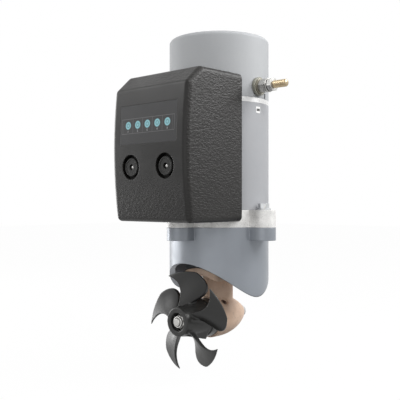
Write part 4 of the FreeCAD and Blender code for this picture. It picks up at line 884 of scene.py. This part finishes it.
def makeNumbers():
    look = numbers
    away = look["height"] - look["bowHeight"]
    front = -(look["bowDepth"] - look["bowRadius"] + math.sqrt(look["bowRadius"] ** 2 - away ** 2))
    tilt = math.asin(away / look["bowRadius"])
    made = []
    for place in range(panelFilm["discs"]):
        across = (place - (panelFilm["discs"] - 1) / 2) * panelFilm["pitch"]
        bpy.ops.object.text_add(location=(across * mm, (front - look["proud"]) * mm, look["height"] * mm),
                                rotation=(math.radians(90) - tilt, 0, 0))
        digit = active()
        digit.data.body = str(place + 1)
        digit.data.size = look["size"] * mm
        digit.data.align_x = "CENTER"
        digit.data.extrude = look["thick"] * mm / 2
        bpy.ops.object.convert(target="MESH")
        made.append(settle(active(), "digit"))
    whole = joined(made)
    whole.name = "panelNumbers"
    placed(whole, "housing", "panel_film")
    dress(whole, markFinish("printPale", shade(196, 197, 198), shade(180, 181, 182)))


makeNumbers()


studio = {
    "floor": -60.0, "floorSize": 8.0, "floorTone": 0.14, "floorSeenTone": 0.9, "floorRough": 0.9,
    "glow": 0.975, "fill": 0.42, "aim": (0, 0, 0.14),
    "lamps": [  # name, place, size, watts
        ("leftLamp", (-1.08, -0.26, 0.14), (0.8, 0.7), 7.5),
        ("rightLamp", (0.74, 0.68, 0.82), (0.6, 0.6), 11.0),
        ("nearLamp", (0.45, -0.20, 0.62), (0.35, 0.35), 2.0),
        ("frontLamp", (-0.66, -0.74, 0.76), (0.5, 0.5), 2.6),
        ("lowLamp", (0.45, -1.05, 0.25), (1.0, 0.6), 1.2)]}


def grey(tone):
    return (tone, tone, tone, 1)


def seenShare(tree):
    # 1 where the camera, a mirror or clear glass looks, 0 for light that bounces.
    path = tree.nodes.new("ShaderNodeLightPath")
    share = path.outputs["Is Camera Ray"]
    for ray in ("Is Glossy Ray", "Is Transmission Ray"):
        larger = tree.nodes.new("ShaderNodeMath")
        larger.operation = "MAXIMUM"
        tree.links.new(share, larger.inputs[0])
        tree.links.new(path.outputs[ray], larger.inputs[1])
        share = larger.outputs[0]
    return share


def makeFloor():
    look = studio
    bpy.ops.mesh.primitive_plane_add(size=look["floorSize"], location=(0, 0, look["floor"] * mm))
    floor = settle(active(), "studioFloor")
    finish = Finish("floorWhite")
    seen = Wire(finish, seenShare(finish.tree))
    # Light that bounces finds a dark floor; the eye finds a nearly white one with a very faint shadow.
    finish.feed(Base_Color=finish.blend(seen, grey(look["floorTone"]), grey(look["floorSeenTone"])),
                Roughness=look["floorRough"])
    glow = finish.node("ShaderNodeEmission", None, {"Color": grey(1), "Strength": 1.0})
    mixed = finish.node("ShaderNodeMixShader", None, {
        0: seen * look["glow"], 1: Wire(finish, finish.shader.outputs[0]), 2: glow})
    finish.tree.links.new(mixed.socket, finish.tree.nodes["Material Output"].inputs["Surface"])
    dress(floor, finish.material)


def makeWorld():
    world = bpy.data.worlds.new("studioWorld")
    bpy.context.scene.world = world
    world.use_nodes = True
    tree = world.node_tree
    back = tree.nodes["Background"]
    back.inputs["Color"].default_value = grey(1)
    strength = tree.nodes.new("ShaderNodeMapRange")
    strength.inputs["To Min"].default_value = studio["fill"]
    strength.inputs["To Max"].default_value = 1.0
    tree.links.new(seenShare(tree), strength.inputs["Value"])
    tree.links.new(strength.outputs[0], back.inputs["Strength"])


def makeLamps():
    for name, place, size, watts in studio["lamps"]:
        bpy.ops.object.light_add(type="AREA", location=place)
        lamp = active()
        lamp.name = name
        lamp.data.shape = "RECTANGLE"
        lamp.data.size, lamp.data.size_y = size
        lamp.data.energy = watts
        aim = Vector(studio["aim"]) - Vector(place)
        lamp.rotation_euler = aim.to_track_quat("-Z", "Y").to_euler()


camera = {"place": (0.5011, -0.5653, 0.1269), "turn": 43.16, "lens": 60.93, "film": 36.0, "rise": 0.002}


def makeCamera():
    bpy.ops.object.camera_add(location=camera["place"],
                              rotation=(math.radians(90), 0, math.radians(camera["turn"])))
    view = active()
    view.name = "studioCamera"
    view.data.lens = camera["lens"]
    view.data.sensor_width = camera["film"]
    view.data.shift_y = camera["rise"]
    bpy.context.scene.camera = view


makeFloor()
makeWorld()
makeLamps()
makeCamera()
bpy.context.scene.view_settings.view_transform = "Standard"
print("studio ready")
